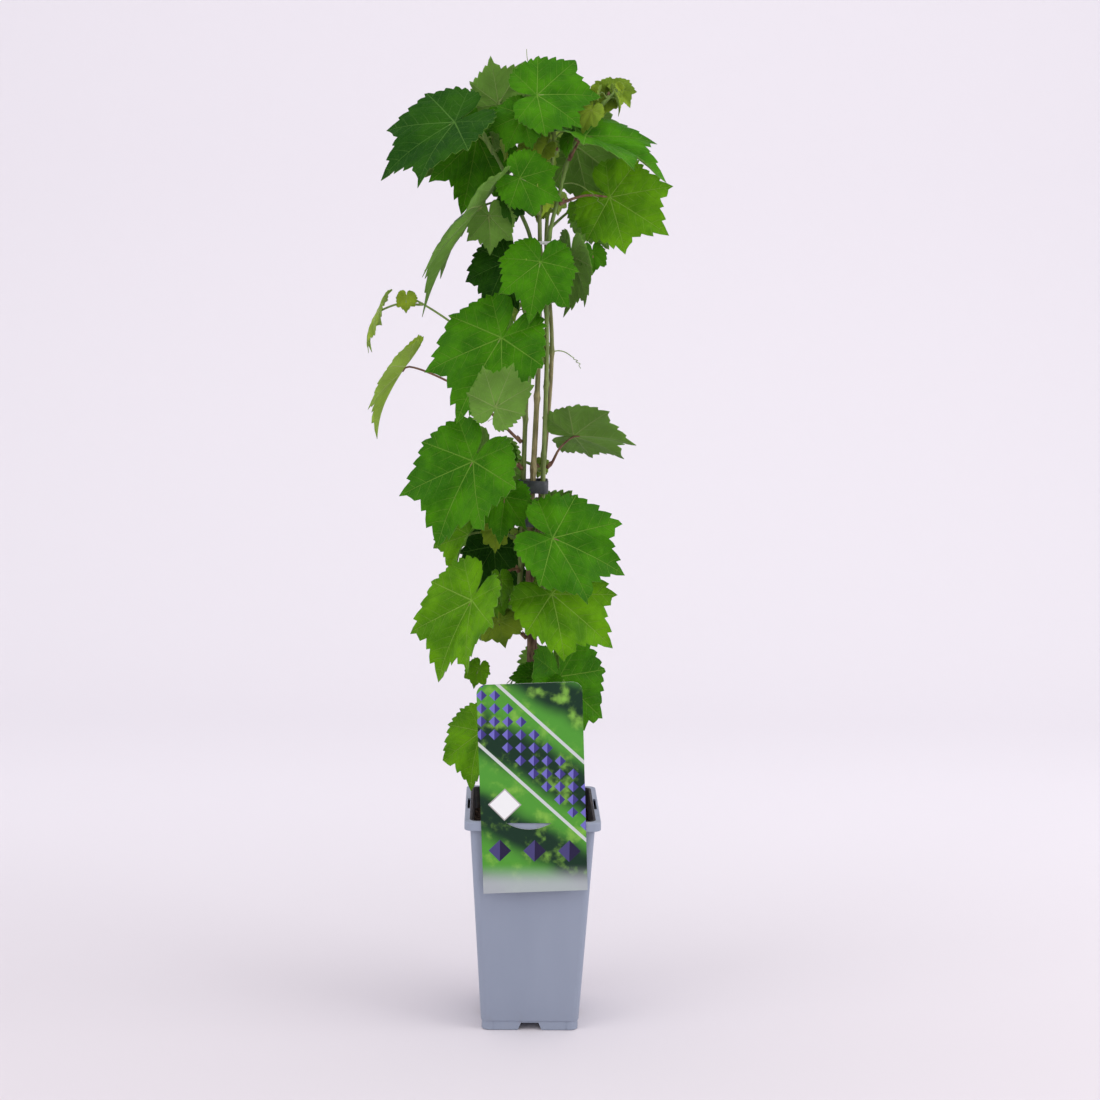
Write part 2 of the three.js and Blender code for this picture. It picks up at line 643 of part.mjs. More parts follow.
// drop: how far below its leaf each one springs; lowest: where the back shoot is clear.
const backed = [
  'leaves-foot-right', 'leaves-low-left', 'leaves-low-right', 'leaves-mid-right', 'leaves-mid-left',
  'leaves-upper-left', 'leaves-waist-front', 'leaves-crown-centre', 'leaves-crown-left',
  'leaves-crown-low-right', 'leaves-crown-right', 'leaves-crown-top',
];
backed.forEach((name, i) => {
  const front = masses.find((mass) => mass.name === name);
  const [x, , z] = front.to;
  const leaf = front.leaves[0];
  const from = z - BACK.drop[i % 2];
  masses.push({
    name: name.replace('leaves', 'leaves-back'),
    limb: from < BACK.lowest ? 'trunk' : 'shoot-back',
    from,
    to: [x * BACK.inwards, BACK.depth[i % 2], z - BACK.lower],
    leaves: [{ size: leaf.size * BACK.share, look: 180 - 0.6 * leaf.look, swing: -leaf.swing, lift: 8 }],
  });
});

// ---------------------------------------------------------------- assembly

const grapevine = new THREE.Group();

function place(name, geometry, material) {
  const mesh = new THREE.Mesh(geometry, material);
  mesh.name = name;
  grapevine.add(mesh);
}

place('pot', potGeometry(), potPlastic);
place('soil', soilGeometry(), soilFinish);
place('label', labelGeometry(), labelCard);
for (const { name, curve, radii, sides, steps, material } of Object.values(limbs)) {
  place(name, limb(curve, radii, sides, steps), material);
}
place('tie-waist', tieGeometry(757, 3, 1.6), tieWhite);
place('clip-upper', tieGeometry(527, 12, 1.8), clipPlastic);
place('clip-lower', tieGeometry(493, 9, 1.4), clipPlastic);
masses.forEach((mass, index) => place(mass.name, massGeometry(mass, index), foliage));

export default grapevine;
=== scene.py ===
# %% [markdown]
# # A young grapevine in a tall square pot
#
# The real object is a nursery vine: a short woody stem, four thin shoots tied into a
# bundle, about fifty big lobed leaves on long stalks, a moulded pot full of compost, and a
# card label that hooks over the rim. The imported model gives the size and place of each
# part. The cells below dress it: every piece is made in millimetres, in the model's own
# frame, and scaled to metres as its mesh is made, so nothing has to be fitted afterwards.

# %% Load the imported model
import math

import bmesh
import bpy
import numpy as np
from mathutils import Matrix, Vector, noise


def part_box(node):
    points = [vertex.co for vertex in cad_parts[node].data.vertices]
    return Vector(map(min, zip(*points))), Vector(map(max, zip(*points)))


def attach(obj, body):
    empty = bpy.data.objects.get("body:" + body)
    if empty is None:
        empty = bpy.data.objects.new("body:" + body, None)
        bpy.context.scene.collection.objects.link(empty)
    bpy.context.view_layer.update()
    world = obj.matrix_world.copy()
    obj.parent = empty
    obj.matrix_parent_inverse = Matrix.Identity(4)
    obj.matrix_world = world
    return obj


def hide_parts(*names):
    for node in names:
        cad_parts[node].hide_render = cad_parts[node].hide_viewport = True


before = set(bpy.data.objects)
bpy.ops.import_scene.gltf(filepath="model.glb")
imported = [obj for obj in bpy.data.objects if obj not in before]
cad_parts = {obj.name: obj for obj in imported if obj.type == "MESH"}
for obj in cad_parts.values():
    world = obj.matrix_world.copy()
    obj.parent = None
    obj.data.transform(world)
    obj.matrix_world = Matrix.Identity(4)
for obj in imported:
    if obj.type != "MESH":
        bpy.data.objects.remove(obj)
bpy.context.scene.view_settings.view_transform = "Standard"
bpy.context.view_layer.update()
MM = 0.001
BODY = "root"
RIM_HALF, _, HEIGHT = np.array(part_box("pot")[1]) / MM
STEM_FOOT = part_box("trunk")[0][2] / MM
print("pot rim", RIM_HALF * 2, "mm wide, pot", HEIGHT, "mm high")

# %% [markdown]
# ## Small helpers
#
# A seeded rule draws every chance value, so the same plant grows on each run. It is the
# same short formula as in the part's source: that is what lets a leaf made here lie where
# its plain solid lies.

# %% Numbers, vectors and chance


def vec(*values):
    return np.array(values, float)


def unit(v):
    return v / np.linalg.norm(v)


def lerp(a, b, t):
    return a + (b - a) * t


def seeded(seed):
    state = [seed % 2**32]

    def draw():
        state[0] = (state[0] * 1664525 + 1013904223) % 2**32
        return state[0] / 2**32

    return draw


def smooth_step(low, high, x):
    t = np.clip((x - low) / (high - low), 0, 1)
    return t * t * (3 - 2 * t)


# %% [markdown]
# ## Routes
#
# Stems and stalks follow smooth curves through a few points. A centripetal Catmull-Rom
# curve passes through each point with no loops or overshoot, however uneven the spacing.

# %% A smooth route through points


class Route:
    """A curve that is read by the share of its length, from 0 to 1."""

    def __init__(self, points, steps=24):
        p = [vec(*q) for q in points]
        p = [2 * p[0] - p[1], *p, 2 * p[-1] - p[-2]]
        dense = []
        for p0, p1, p2, p3 in zip(p, p[1:], p[2:], p[3:]):
            d0, d1, d2 = (max(np.linalg.norm(b - a), 1e-4) ** 0.5
                          for a, b in ((p0, p1), (p1, p2), (p2, p3)))
            t1 = ((p1 - p0) / d0 - (p2 - p0) / (d0 + d1) + (p2 - p1) / d1) * d1
            t2 = ((p2 - p1) / d1 - (p3 - p1) / (d1 + d2) + (p3 - p2) / d2) * d1
            for t in np.arange(steps) / steps:
                cubic = (2 * p1 - 2 * p2 + t1 + t2) * t**3
                dense.append(cubic + (3 * p2 - 3 * p1 - 2 * t1 - t2) * t**2 + t1 * t + p1)
        self.dense = np.array([*dense, p[-2]])
        lengths = np.linalg.norm(np.diff(self.dense, axis=0), axis=1)
        self.length = lengths.sum()
        self.shares = np.concatenate([[0], np.cumsum(lengths)]) / self.length

    def at(self, share):
        share = np.clip(share, 0, 1)
        return np.stack([np.interp(share, self.shares, c) for c in self.dense.T], -1)

    def heading(self, share):
        return unit(self.at(share + 1e-3) - self.at(share - 1e-3))


def spread(values, share):
    """A list of values spread evenly from 0 to 1, read anywhere between."""
    return np.interp(share, np.linspace(0, 1, len(values)), values)


# %% [markdown]
# ## Meshes
#
# Every piece here ends up as one mesh object at the origin. Many small tubes or leaves are
# gathered as arrays first and turned into a mesh once, which is much quicker than joining
# objects.

# %% Gather shapes and make one mesh of them


class Heap:
    """Points and faces of many shapes that become one piece."""

    def __init__(self):
        self.points, self.faces, self.slots, self.maps = [], [], [], {}
        self.count = 0

    def add(self, points, faces, slot=0, **maps):
        self.points.append(points)
        self.faces += [tuple(i + self.count for i in face) for face in faces]
        self.slots += [slot] * len(faces) if isinstance(slot, int) else list(slot)
        for name, values in maps.items():
            self.maps.setdefault(name, []).append(values)
        self.count += len(points)


def piece_from(name, heap, materials, record_slot, replaced=(), smooth=True):
    mesh = bpy.data.meshes.new(name)
    mesh.from_pydata((np.concatenate(heap.points) * MM).tolist(), [], heap.faces)
    dress(mesh, materials, smooth)
    mesh.polygons.foreach_set("material_index", heap.slots)
    corners = np.zeros(len(mesh.loops), int)
    mesh.loops.foreach_get("vertex_index", corners)
    for map_name, values in heap.maps.items():
        layer = mesh.uv_layers.new(name=map_name)
        layer.data.foreach_set("uv", np.concatenate(values)[corners].ravel())
    mesh.update()
    return put(bpy.data.objects.new(name, mesh), record_slot, replaced)


def show(thing):
    bpy.context.scene.collection.objects.link(thing)
    return thing


def dress(mesh, materials, smooth=True):
    """Give a mesh its finishes, and smooth or flat faces."""
    mesh.materials.clear()
    for material in materials:
        mesh.materials.append(material)
    mesh.polygons.foreach_set("use_smooth", [smooth] * len(mesh.polygons))


def put(piece, record_slot, replaced=()):
    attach(show(piece), BODY)
    if replaced:
        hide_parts(*replaced)
    piece.data.calc_loop_triangles()
    print(piece.name, len(piece.data.loop_triangles), "triangles")
    return piece


# %% Skins between rings, and a round tube along a route


def skin(rows, n):
    """Faces of a closed loft of rings with n points: its start, the bands, and its end."""
    bands = [(r * n + i, r * n + (i + 1) % n, (r + 1) * n + (i + 1) % n, (r + 1) * n + i)
             for r in range(rows - 1) for i in range(n)]
    return [tuple(reversed(range(n))), *bands, tuple(range((rows - 1) * n, rows * n))]


def tube(points, radii, sides, relief=None):
    """Rings along points, kept from twisting by carrying one side direction along."""
    headings = np.gradient(points, axis=0)
    headings /= np.linalg.norm(headings, axis=1, keepdims=True)
    side = unit(np.cross(headings[0], vec(0.31, 0.87, 0.38)))
    run = np.concatenate([[0], np.cumsum(np.linalg.norm(np.diff(points, axis=0), axis=1))])
    angles = 2 * np.pi * np.arange(sides) / sides
    rings = []
    for centre, heading, radius, length in zip(points, headings, radii, run):
        side = unit(side - heading * side.dot(heading))
        other = np.cross(heading, side)
        swell = radius + (relief(angles, length, radius) if relief else 0 * angles)
        ring = np.outer(np.cos(angles) * swell, side) + np.outer(np.sin(angles) * swell, other)
        rings.append(centre + ring)
    faces = skin(len(points), sides)[1:-1]
    last = (len(points) - 1) * sides
    tips = [points[0] - headings[0] * radii[0] * 0.4, points[-1] + headings[-1] * radii[-1] * 0.6]
    first_tip = len(points) * sides
    for i in range(sides):
        faces.append(((i + 1) % sides, i, first_tip))
        faces.append((last + i, last + (i + 1) % sides, first_tip + 1))
    return np.concatenate([*rings, tips]), faces


# %% [markdown]
# ## Shader helpers
#
# Materials are node trees. A short helper makes a node, sets its values and links its
# inputs, so that each finish below reads as a list of steps. Effects that more than one
# finish uses become node groups with named inputs and outputs.

# %% Build node trees from short calls


class Tree:
    """Short calls that add nodes to a tree and give their outputs back."""

    def __init__(self, tree):
        self.nodes, self.links = tree.nodes, tree.links

    def add(self, kind, inputs=None, **settings):
        node = self.nodes.new(kind)
        for key, value in settings.items():
            setattr(node, key, value)
        for key, value in (inputs or {}).items():
            if isinstance(value, bpy.types.NodeSocket):
                self.links.new(value, node.inputs[key])
            else:
                node.inputs[key].default_value = value
        return node

    def math(self, operation, *values):
        return self.add("ShaderNodeMath", dict(enumerate(values)), operation=operation).outputs[0]

    def plus(self, a, b):
        return self.math("ADD", a, b)

    def minus(self, a, b):
        return self.math("SUBTRACT", a, b)

    def times(self, a, b):
        return self.math("MULTIPLY", a, b)

    def scaled(self, value, factor, offset):
        return self.math("MULTIPLY_ADD", value, factor, offset)

    def size(self, value):
        return self.math("ABSOLUTE", value)

    def ramp(self, value, low, high):
        """Rises smoothly from 0 to 1 as the value goes from low to high."""
        return self.add("ShaderNodeMapRange", {0: value, 1: low, 2: high}, clamp=True,
                        interpolation_type="SMOOTHSTEP").outputs[0]

    def fall(self, value, low, high):
        return self.minus(1.0, self.ramp(value, low, high))

    def mix(self, factor, *colours):
        a, b = ((*c, 1) if isinstance(c, tuple) else c for c in colours)
        return self.add("ShaderNodeMix", {0: factor, 6: a, 7: b}, data_type="RGBA").outputs[2]

    def place(self):
        return self.add("ShaderNodeTexCoord").outputs["Object"]

    def split(self, vector):
        return self.add("ShaderNodeSeparateXYZ", {0: vector}).outputs

    def noise(self, vector, scale, detail=3, roughness=0.55):
        inputs = {"Vector": vector, "Scale": scale, "Detail": detail, "Roughness": roughness}
        return self.add("ShaderNodeTexNoise", inputs).outputs[0]

    def stretched(self, vector, scale):
        return self.add("ShaderNodeMapping", {"Vector": vector, "Scale": scale}).outputs[0]

    def paint(self, colour):
        self.links.new(colour, self.coat["Base Color"])

    def relief(self, height, distance, strength):
        inputs = {"Height": height, "Distance": distance, "Strength": strength}
        self.links.new(self.add("ShaderNodeBump", inputs).outputs[0], self.coat["Normal"])


def finish(name, **shader):
    """A material with a Principled shader; returns it and its tree."""
    material = bpy.data.materials.new(name)
    material.use_nodes = True
    tree = Tree(material.node_tree)
    tree.coat = tree.nodes["Principled BSDF"].inputs
    for key, value in shader.items():
        tree.coat[key.replace("_", " ")].default_value = value
    return material, tree


def group(name, kind, inputs, outputs):
    """A node group with named sockets; returns it, its tree, and its inner ends."""
    made = bpy.data.node_groups.new(name, kind)
    for way, sockets in (("INPUT", inputs), ("OUTPUT", outputs)):
        for socket, sort in sockets.items():
            made.interface.new_socket(socket, in_out=way, socket_type="NodeSocket" + sort)
    tree = Tree(made)
    return made, tree, tree.add("NodeGroupInput").outputs, tree.add("NodeGroupOutput").inputs


def shade(colour, share):
    return tuple(share * c for c in colour)


# %% [markdown]
# ## The leaf's veins
#
# A vine leaf has palmate veins: a midrib and pairs of main veins fan out from the stalk,
# and side veins leave each of them towards the teeth. The same small set of angles drives
# the relief of the mesh, further down, and this shader group, which works in the blade's
# own map, with the stalk at the middle and the midrib along V. It turns a place into the
# nearest main vein, the length along it and the distance off it.

# %% Vein pattern as a node group
VEIN_ANGLES = (0, 40, 84, 130)
VEIN_BOUNDS = (20, 62, 107)
SIDE_VEIN_GAP = 0.145
SIDE_VEIN_SLANT, SIDE_VEIN_BEND = 0.72, 1.1


def make_vein_group():
    made, t, given, out = group(
        "leaf veins", "ShaderNodeTree", {"Place": "Vector", "Width": "Float"},
        {"Main": "Float", "Side": "Float", "Net": "Float"})
    parts = t.split(given["Place"])
    across = t.size(parts["X"])
    angle = t.math("ARCTAN2", across, parts["Y"])
    reach = t.math("SQRT", t.plus(t.times(across, across), t.times(parts["Y"], parts["Y"])))
    nearest = 0.0
    for low, high, bound in zip(VEIN_ANGLES, VEIN_ANGLES[1:], VEIN_BOUNDS):
        past = t.math("GREATER_THAN", angle, math.radians(bound))
        nearest = t.scaled(past, math.radians(high - low), nearest)
    turn = t.minus(angle, nearest)
    along = t.times(reach, t.math("COSINE", turn))
    off = t.times(reach, t.math("SINE", turn))
    aside = t.size(off)
    width = t.times(given["Width"], t.minus(1.25, along))
    main = t.fall(t.math("DIVIDE", aside, width), 0.5, 1.3)
    hind = t.math("GREATER_THAN", angle, math.radians(VEIN_BOUNDS[-1]))
    main = t.times(main, t.scaled(hind, -0.55, 1.0))
    shift = t.times(t.math("SIGN", off), 0.25)
    slope = t.scaled(aside, SIDE_VEIN_BEND, SIDE_VEIN_SLANT)
    slanted = t.minus(along, t.times(aside, slope))
    step = t.plus(t.math("DIVIDE", slanted, SIDE_VEIN_GAP), shift)
    part = t.size(t.minus(t.math("FRACT", step), 0.5))
    fade = t.minus(1.0, t.times(t.ramp(aside, 0.05, 0.2), 0.75))
    side = t.times(t.fall(part, 0.015, 0.06), fade)
    net = t.add("ShaderNodeTexVoronoi", {"Vector": given["Place"], "Scale": 34.0},
                feature="DISTANCE_TO_EDGE").outputs[0]
    for socket, value in (("Main", main), ("Side", side), ("Net", t.fall(net, 0.0, 0.12))):
        t.links.new(value, out[socket])
    return made


vein_group = make_vein_group()

# %% [markdown]
# ## Leaf finishes
#
# The upper side is smooth and a little waxy, with pale veins and darker, fuller green
# between them. The underside is paler, greyer and dull with fine down. Leaves differ from
# one another more than one leaf does across itself, so each leaf gets one of a few plain
# tints, dealt out by spray. The tints are partly the leaves' own greens and partly painted
# shade and light: the deep tint carries painted shade, the bright one painted light.

# %% Upper side and underside


def veins_of(tree, width):
    place = tree.add("ShaderNodeUVMap", uv_map="leaf").outputs[0]
    return tree.add("ShaderNodeGroup", {"Place": place, "Width": width},
                    node_tree=vein_group).outputs


def blade_top(name, colour, vein, roughness):
    material, t = finish(name, Roughness=roughness, Specular_IOR_Level=0.06)
    veins = veins_of(t, 0.0085)
    cloud = t.ramp(t.noise(t.place(), 38.0, detail=4), 0.3, 0.75)
    lighter = (colour[0] * 1.45 + 0.006, colour[1] * 1.22, colour[2])
    base = t.mix(cloud, shade(colour, 0.64), lighter)
    for kind, share in (("Net", 0.1), ("Side", 0.34), ("Main", 0.62)):
        base = t.mix(t.times(veins[kind], share), base, vein)
    t.paint(base)
    t.links.new(t.scaled(cloud, 0.12, roughness - 0.04), t.coat["Roughness"])
    dents = t.plus(veins["Main"], t.scaled(veins["Side"], 0.7, t.times(veins["Net"], 0.25)))
    t.relief(t.minus(t.times(cloud, 0.3), dents), 0.0009, 0.8)
    return material


def blade_under(name, colour, vein):
    material, t = finish(name, Roughness=0.75, Specular_IOR_Level=0.08, Sheen_Weight=0.05,
                         Sheen_Roughness=0.6)
    veins = veins_of(t, 0.012)
    cloud = t.ramp(t.noise(t.place(), 45.0, detail=4), 0.3, 0.75)
    base = t.mix(cloud, shade(colour, 0.82), shade(colour, 1.12))
    for kind, share in (("Side", 0.5), ("Main", 0.85)):
        base = t.mix(t.times(veins[kind], share), base, vein)
    t.paint(base)
    ridges = t.plus(t.times(veins["Main"], 1.3), t.scaled(veins["Net"], 0.35, veins["Side"]))
    t.relief(ridges, 0.0007, 0.8)
    return material


under_side = blade_under("leaf underside", (0.135, 0.285, 0.038), (0.23, 0.36, 0.085))
# Partly painted light: the young underside is pale and bright partly because young leaves are
# paler, and partly to stand in for light shining through the thin young blade.
young_under = blade_under("leaf young underside", (0.29, 0.46, 0.058), (0.42, 0.56, 0.14))
TINTS = {}
# Painted shade and light: deep, mid and bright are leaf greens from dark to light, partly the
# leaves' own colours, partly shade and light painted into them.
for tint, colour, vein, roughness, under in (
    ("deep", (0.011, 0.078, 0.002), (0.10, 0.23, 0.04), 0.5, under_side),
    ("mid", (0.035, 0.184, 0.001), (0.17, 0.34, 0.04), 0.4, under_side),
    ("bright", (0.080, 0.266, 0.002), (0.25, 0.44, 0.06), 0.42, under_side),
    ("young", (0.22, 0.385, 0.03), (0.38, 0.5, 0.11), 0.45, young_under),
):
    name = "leaf young" if tint == "young" else "leaf green " + tint
    TINTS[tint] = [blade_top(name, colour, vein, roughness), under]
print("leaf tints:", ", ".join(TINTS))

# %% [markdown]
# ## Stalks, shoots and bark
#
# Leaf stalks are smooth and green, some flushed with red on the sunny side. Shoots are
# green near their tips and turn tan as they ripen from below, so their finish blends by
# height. The stem is old wood, with bark that splits into fibrous strips.

# %% Stem finishes
FRESH_FROM = 0.60


def streaky(name, dark, light, roughness, scale, depth, fresh=None):
    material, t = finish(name, Roughness=roughness, Specular_IOR_Level=0.35)
    place = t.stretched(t.place(), (1.0, 1.0, 0.12))
    streaks = t.ramp(t.noise(place, scale, detail=6, roughness=0.65), 0.32, 0.7)
    blotches = t.ramp(t.noise(t.place(), scale * 0.09, detail=3), 0.35, 0.7)
    base = t.mix(streaks, dark, light)
    if fresh:
        green = t.mix(streaks, shade(fresh, 0.6), fresh)
        up = t.split(t.place())["Z"]
        ripe = t.scaled(blotches, 0.12, up)
        base = t.mix(t.ramp(ripe, FRESH_FROM, FRESH_FROM + 0.22), base, green)
    base = t.mix(t.times(blotches, 0.45), base, shade(dark, 0.5))
    t.paint(base)
    t.relief(streaks, depth, 0.8)
    return material


bark = streaky("vine bark", (0.085, 0.045, 0.028), (0.30, 0.19, 0.12), 0.85, 520.0, 0.0006)
tan_wood = streaky("shoot tan wood", (0.16, 0.12, 0.05), (0.40, 0.35, 0.17), 0.6, 420.0, 0.0003,
                   (0.24, 0.34, 0.08))
green_wood = streaky("shoot green wood", (0.12, 0.17, 0.04), (0.26, 0.32, 0.09), 0.5, 380.0, 0.0002,
                     (0.22, 0.36, 0.07))
stalk_green = streaky("leaf stalk green", (0.14, 0.23, 0.04), (0.27, 0.38, 0.09), 0.42, 300.0,
                      0.0001)
stalk_red = streaky("leaf stalk red", (0.12, 0.05, 0.03), (0.30, 0.17, 0.09), 0.42, 300.0, 0.0001)

# %% [markdown]
# ## The limbs
#
# The stem and its four shoots follow the same points as the solids they replace. A shoot
# leaves its parent's side on the way up, bends, and rises through the tie. Rings close
# together carry the relief: strips of bark on the old wood, and on the shoots a swelling
# at each joint where a leaf once sat.

# %% The routes of the stem and its shoots
CLEARANCE = 0.3
SIDE_CLIMB = math.radians(35)
FORK_HEIGHT = 452
limbs = {}


def on_limb(name, height):
    route, radii = limbs[name]
    shares = np.linspace(0, 1, 401)
    share = shares[np.argmin(abs(route.at(shares)[:, 2] - height))]
    return route.at(share), route.heading(share), spread(radii, share)


def leaving(parent, height, towards, own_radius):
    """Where a side limb starts on its parent's side, and the way it heads."""
    centre, heading, radius = on_limb(parent, height)
    out = towards - centre
    out = unit(out - heading * out.dot(heading))
    gap = radius + CLEARANCE + 0.1 + own_radius * math.sin(SIDE_CLIMB)
    return centre + out * gap, out * math.cos(SIDE_CLIMB) + heading * math.sin(SIDE_CLIMB)


def side_shoot(name, height, points, radii):
    start, out = leaving("trunk", height, vec(*points[0][:2], height), radii[0])
    limbs[name] = Route([start, start + 5 * out, *points]), radii


limbs["trunk"] = Route([
    (3, 0, STEM_FOOT), (3, 0, 225), (1, 0, 270), (-1, 0, 340), (-3, 0, 400), (-5, 0, FORK_HEIGHT),
]), [9.5, 6.4, 5.8, 5.4, 5.2, 5.1, 5.8, 4.8, 4.6, 4.5, 4.3]
fork, fork_heading, _ = on_limb("trunk", FORK_HEIGHT + 10)
limbs["shoot-centre"] = Route([
    fork + CLEARANCE * fork_heading, fork + 15 * fork_heading,
    (-4, -1, 520), (0, -3, 640), (0, -3, 757), (-3, 0, 820), (-10, 4, 875),
]), [3.4, 3, 2.7, 2.4, 2.1, 1.7]
side_shoot("shoot-left", 425, [
    (-13, 4, 460), (-12, 5, 560), (-9, 4, 680), (-8, 3, 757),
    (-21, 0, 790), (-36, -3, 825), (-60, -5, 866),
], [2.8, 2.6, 2.4, 2.2, 2, 1.6])
side_shoot("shoot-right", 412, [
    (6, -3, 450), (6, -4, 520), (8, -4, 640), (8, -3, 757),
    (17, -2, 800), (30, -2, 848), (52, -4, 880), (70, -5, 898),
], [2.7, 2.5, 2.3, 2.1, 1.9, 1.5])
side_shoot("shoot-back", 398, [
    (-1, 13, 440), (8, 13, 560), (13, 12, 660), (6, 8, 757), (10, 16, 820), (13, 24, 872),
], [2.7, 2.5, 2.3, 2.1, 1.9, 1.5])

# %% Bark strips and joints, as relief on the tubes
JOINT_GAP = 68


def bark_relief(angles, length, radius):
    """Long fibres that wander round the stem, split here and there."""
    out = []
    for a in angles:
        around = Vector((math.cos(a), math.sin(a), 0)) * 2.6
        strip = noise.noise(around * 1.9 + Vector((0, 0, length * 0.022)))
        fibre = noise.noise(around * 5.5 + Vector((7, 3, length * 0.06)))
        knot = noise.noise(around * 0.7 + Vector((1, 9, length * 0.05)))
        out.append(radius * (0.16 * abs(strip) + 0.07 * fibre + 0.10 * knot))
    return np.array(out)


def joint_relief(phase):
    def relief(angles, length, radius):
        swell = math.exp(-((((length + phase) % JOINT_GAP) - JOINT_GAP / 2) / 4.5) ** 2)
        lean = 1 + 0.5 * np.cos(angles - round((length + phase) / JOINT_GAP) * 2.4)
        return radius * (0.34 * swell * lean + 0.03 * np.cos(6 * angles))
    return relief


def limb_heap(name, sides, step, relief):
    route, radii = limbs[name]
    shares = np.linspace(0, 1, int(route.length / step))
    heap = Heap()
    heap.add(*tube(route.at(shares), spread(radii, shares) * 0.93, sides, relief))
    return heap


piece_from("stem-wood", limb_heap("trunk", 44, 1.6, bark_relief), [bark], "bark", ["trunk"])
piece_from("shoot-centre-wood", limb_heap("shoot-centre", 18, 2.2, joint_relief(10)),
           [tan_wood], "bark", ["shoot-centre"])
for i, (name, material) in enumerate((
    ("shoot-left", green_wood), ("shoot-right", green_wood), ("shoot-back", tan_wood),
)):
    heap = limb_heap(name, 16, 2.2, joint_relief(23 * i))
    piece_from(name + "-wood", heap, [material], "green_wood", [name])

# %% [markdown]
# ## Ties
#
# A white ring holds the bundle at its waist and two dark clips hold it lower down. Each is
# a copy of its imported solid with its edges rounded, so it fits the shoots exactly.

# %% Ring and clips


def moulded(name, dark, light, roughness):
    """Plain moulded plastic: a little uneven in tone, with a fine grain."""
    material, t = finish(name, Roughness=roughness)
    tone = t.mix(t.ramp(t.noise(t.place(), 240.0, 4), 0.3, 0.7), dark, light)
    t.paint(tone)
    t.relief(t.noise(t.place(), 900.0), 0.0001, 0.4)
    return material


ring_white = moulded("tie white", (0.70, 0.70, 0.66), (0.84, 0.84, 0.82), 0.4)
clip_dark = moulded("clip dark plastic", (0.040, 0.044, 0.050), (0.070, 0.076, 0.085), 0.5)
for name, material, record_slot in (
    ("tie-waist", ring_white, "tie_white"),
    ("clip-upper", clip_dark, "clip_plastic"),
    ("clip-lower", clip_dark, "clip_plastic"),
):
    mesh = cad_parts[name].data.copy()
    b = bmesh.new()
    b.from_mesh(mesh)
    bmesh.ops.remove_doubles(b, verts=b.verts, dist=1e-6)
    sharp = [e for e in b.edges if len(e.link_faces) == 2 and e.calc_face_angle() > 0.7]
    bmesh.ops.bevel(b, geom=sharp, offset=0.35 * MM, segments=3, affect="EDGES", profile=0.5)
    b.to_mesh(mesh)
    b.free()
    dress(mesh, [material])
    put(bpy.data.objects.new(name + "-rounded", mesh), record_slot, [name])

# %% [markdown]
# ## One leaf blade
#
# A blade is drawn on polar rings round the place where its stalk joins. The margin has five
# lobes and uneven pointed teeth; the teeth fade within the outer rings. The surface sinks
# along the main veins, swells between the side veins, waves at the margin and droops. The
# two sides are separate shells a little apart, so each takes its own finish. Both are cut
# into triangles along the same diagonals, or they would cross where the blade twists.

# %% The margin and the surface of a blade
MARGIN = ((0, 1.02), (5, 0.91), (14, 0.81), (25, 0.745), (33, 0.8), (39, 0.92), (45, 0.83),
          (54, 0.75), (66, 0.69), (76, 0.68), (84, 0.70), (93, 0.63), (116, 0.585), (138, 0.54),
          (156, 0.47), (168, 0.34), (177, 0.1))
BLADE_THICKNESS = 0.55
DROOP = 0.16


def leaf_margin(draw, teeth):
    """Angles round the blade in degrees, the plain reach there, and the toothed reach."""
    step = 176 / (teeth + 0.5)
    tips = [0.0] + [(k + 0.5 * (draw() - 0.5)) * step for k in range(1, teeth + 1)]
    tips = [-(k + 0.5 * (draw() - 0.5)) * step for k in range(teeth, 0, -1)] + tips
    ends = [-177.0, *[lerp(a, b, 0.5) for a, b in zip(tips, tips[1:])], 177.0]
    angles, share = [], []
    for low, tip, high in zip(ends, tips, ends[1:]):
        size = 0.4 + 1.2 * draw()
        if tip > 0.1:
            angles += [low, lerp(low, high, 0.24), lerp(low, high, 0.62)]
            share += [-0.5, size, 0.55 * size]
        elif tip < -0.1:
            angles += [low, lerp(low, high, 0.38), lerp(low, high, 0.76)]
            share += [-0.5, 0.55 * size, size]
        else:
            angles += [low, 0.5 * low, 0.0, 0.5 * high]
            share += [-0.5, 0.1, 1.0, 0.1]
    angles.append(177.0)
    share.append(-0.3)
    angles, share = np.array(angles), np.array(share)
    plain = np.interp(abs(angles), *zip(*MARGIN))
    plain = plain * (1 + 0.035 * np.sin(angles / 19 + 6.3 * draw()))
    tooth = 0.052 * (1 - 0.3 * smooth_step(110, 170, abs(angles)))
    return angles, plain, plain * (1 + tooth * share)


def surface_rise(angles, reach, share, shape):
    """Height of the blade over its plain fold, as a share of its size."""
    side = np.sign(angles)
    angle = abs(angles)
    main = np.array(VEIN_ANGLES)[np.searchsorted(VEIN_BOUNDS, angle)]
    turn = np.radians(angle - main)
    along, off = reach * np.cos(turn), reach * np.sin(turn)
    pillow = 1 - np.exp(-((off / 0.085) ** 2))
    slanted = along - abs(off) * (SIDE_VEIN_SLANT + SIDE_VEIN_BEND * abs(off))
    step = slanted / SIDE_VEIN_GAP + np.sign(off) * 0.25
    bulge = np.sin(np.pi * abs(step % 1 - 0.5))
    rise = 0.015 * pillow * smooth_step(0, 0.35, reach)
    rise = rise + 0.015 * bulge * pillow * smooth_step(0.08, 0.4, reach)
    a = np.radians(angles)
    wave = np.sin(5 * a + shape["phase"]) + 0.6 * np.sin(9 * a - 2 * shape["phase"])
    rise = rise + shape["wave"] * wave * share**2.6
    sideways = reach * np.sin(a)
    rise = rise - shape["curl"] * sideways**2 - shape["tip"] * np.maximum(along - 0.55, 0) ** 2
    return rise + 0.03 * shape["twist"] * side * sideways * reach - DROOP * reach**2


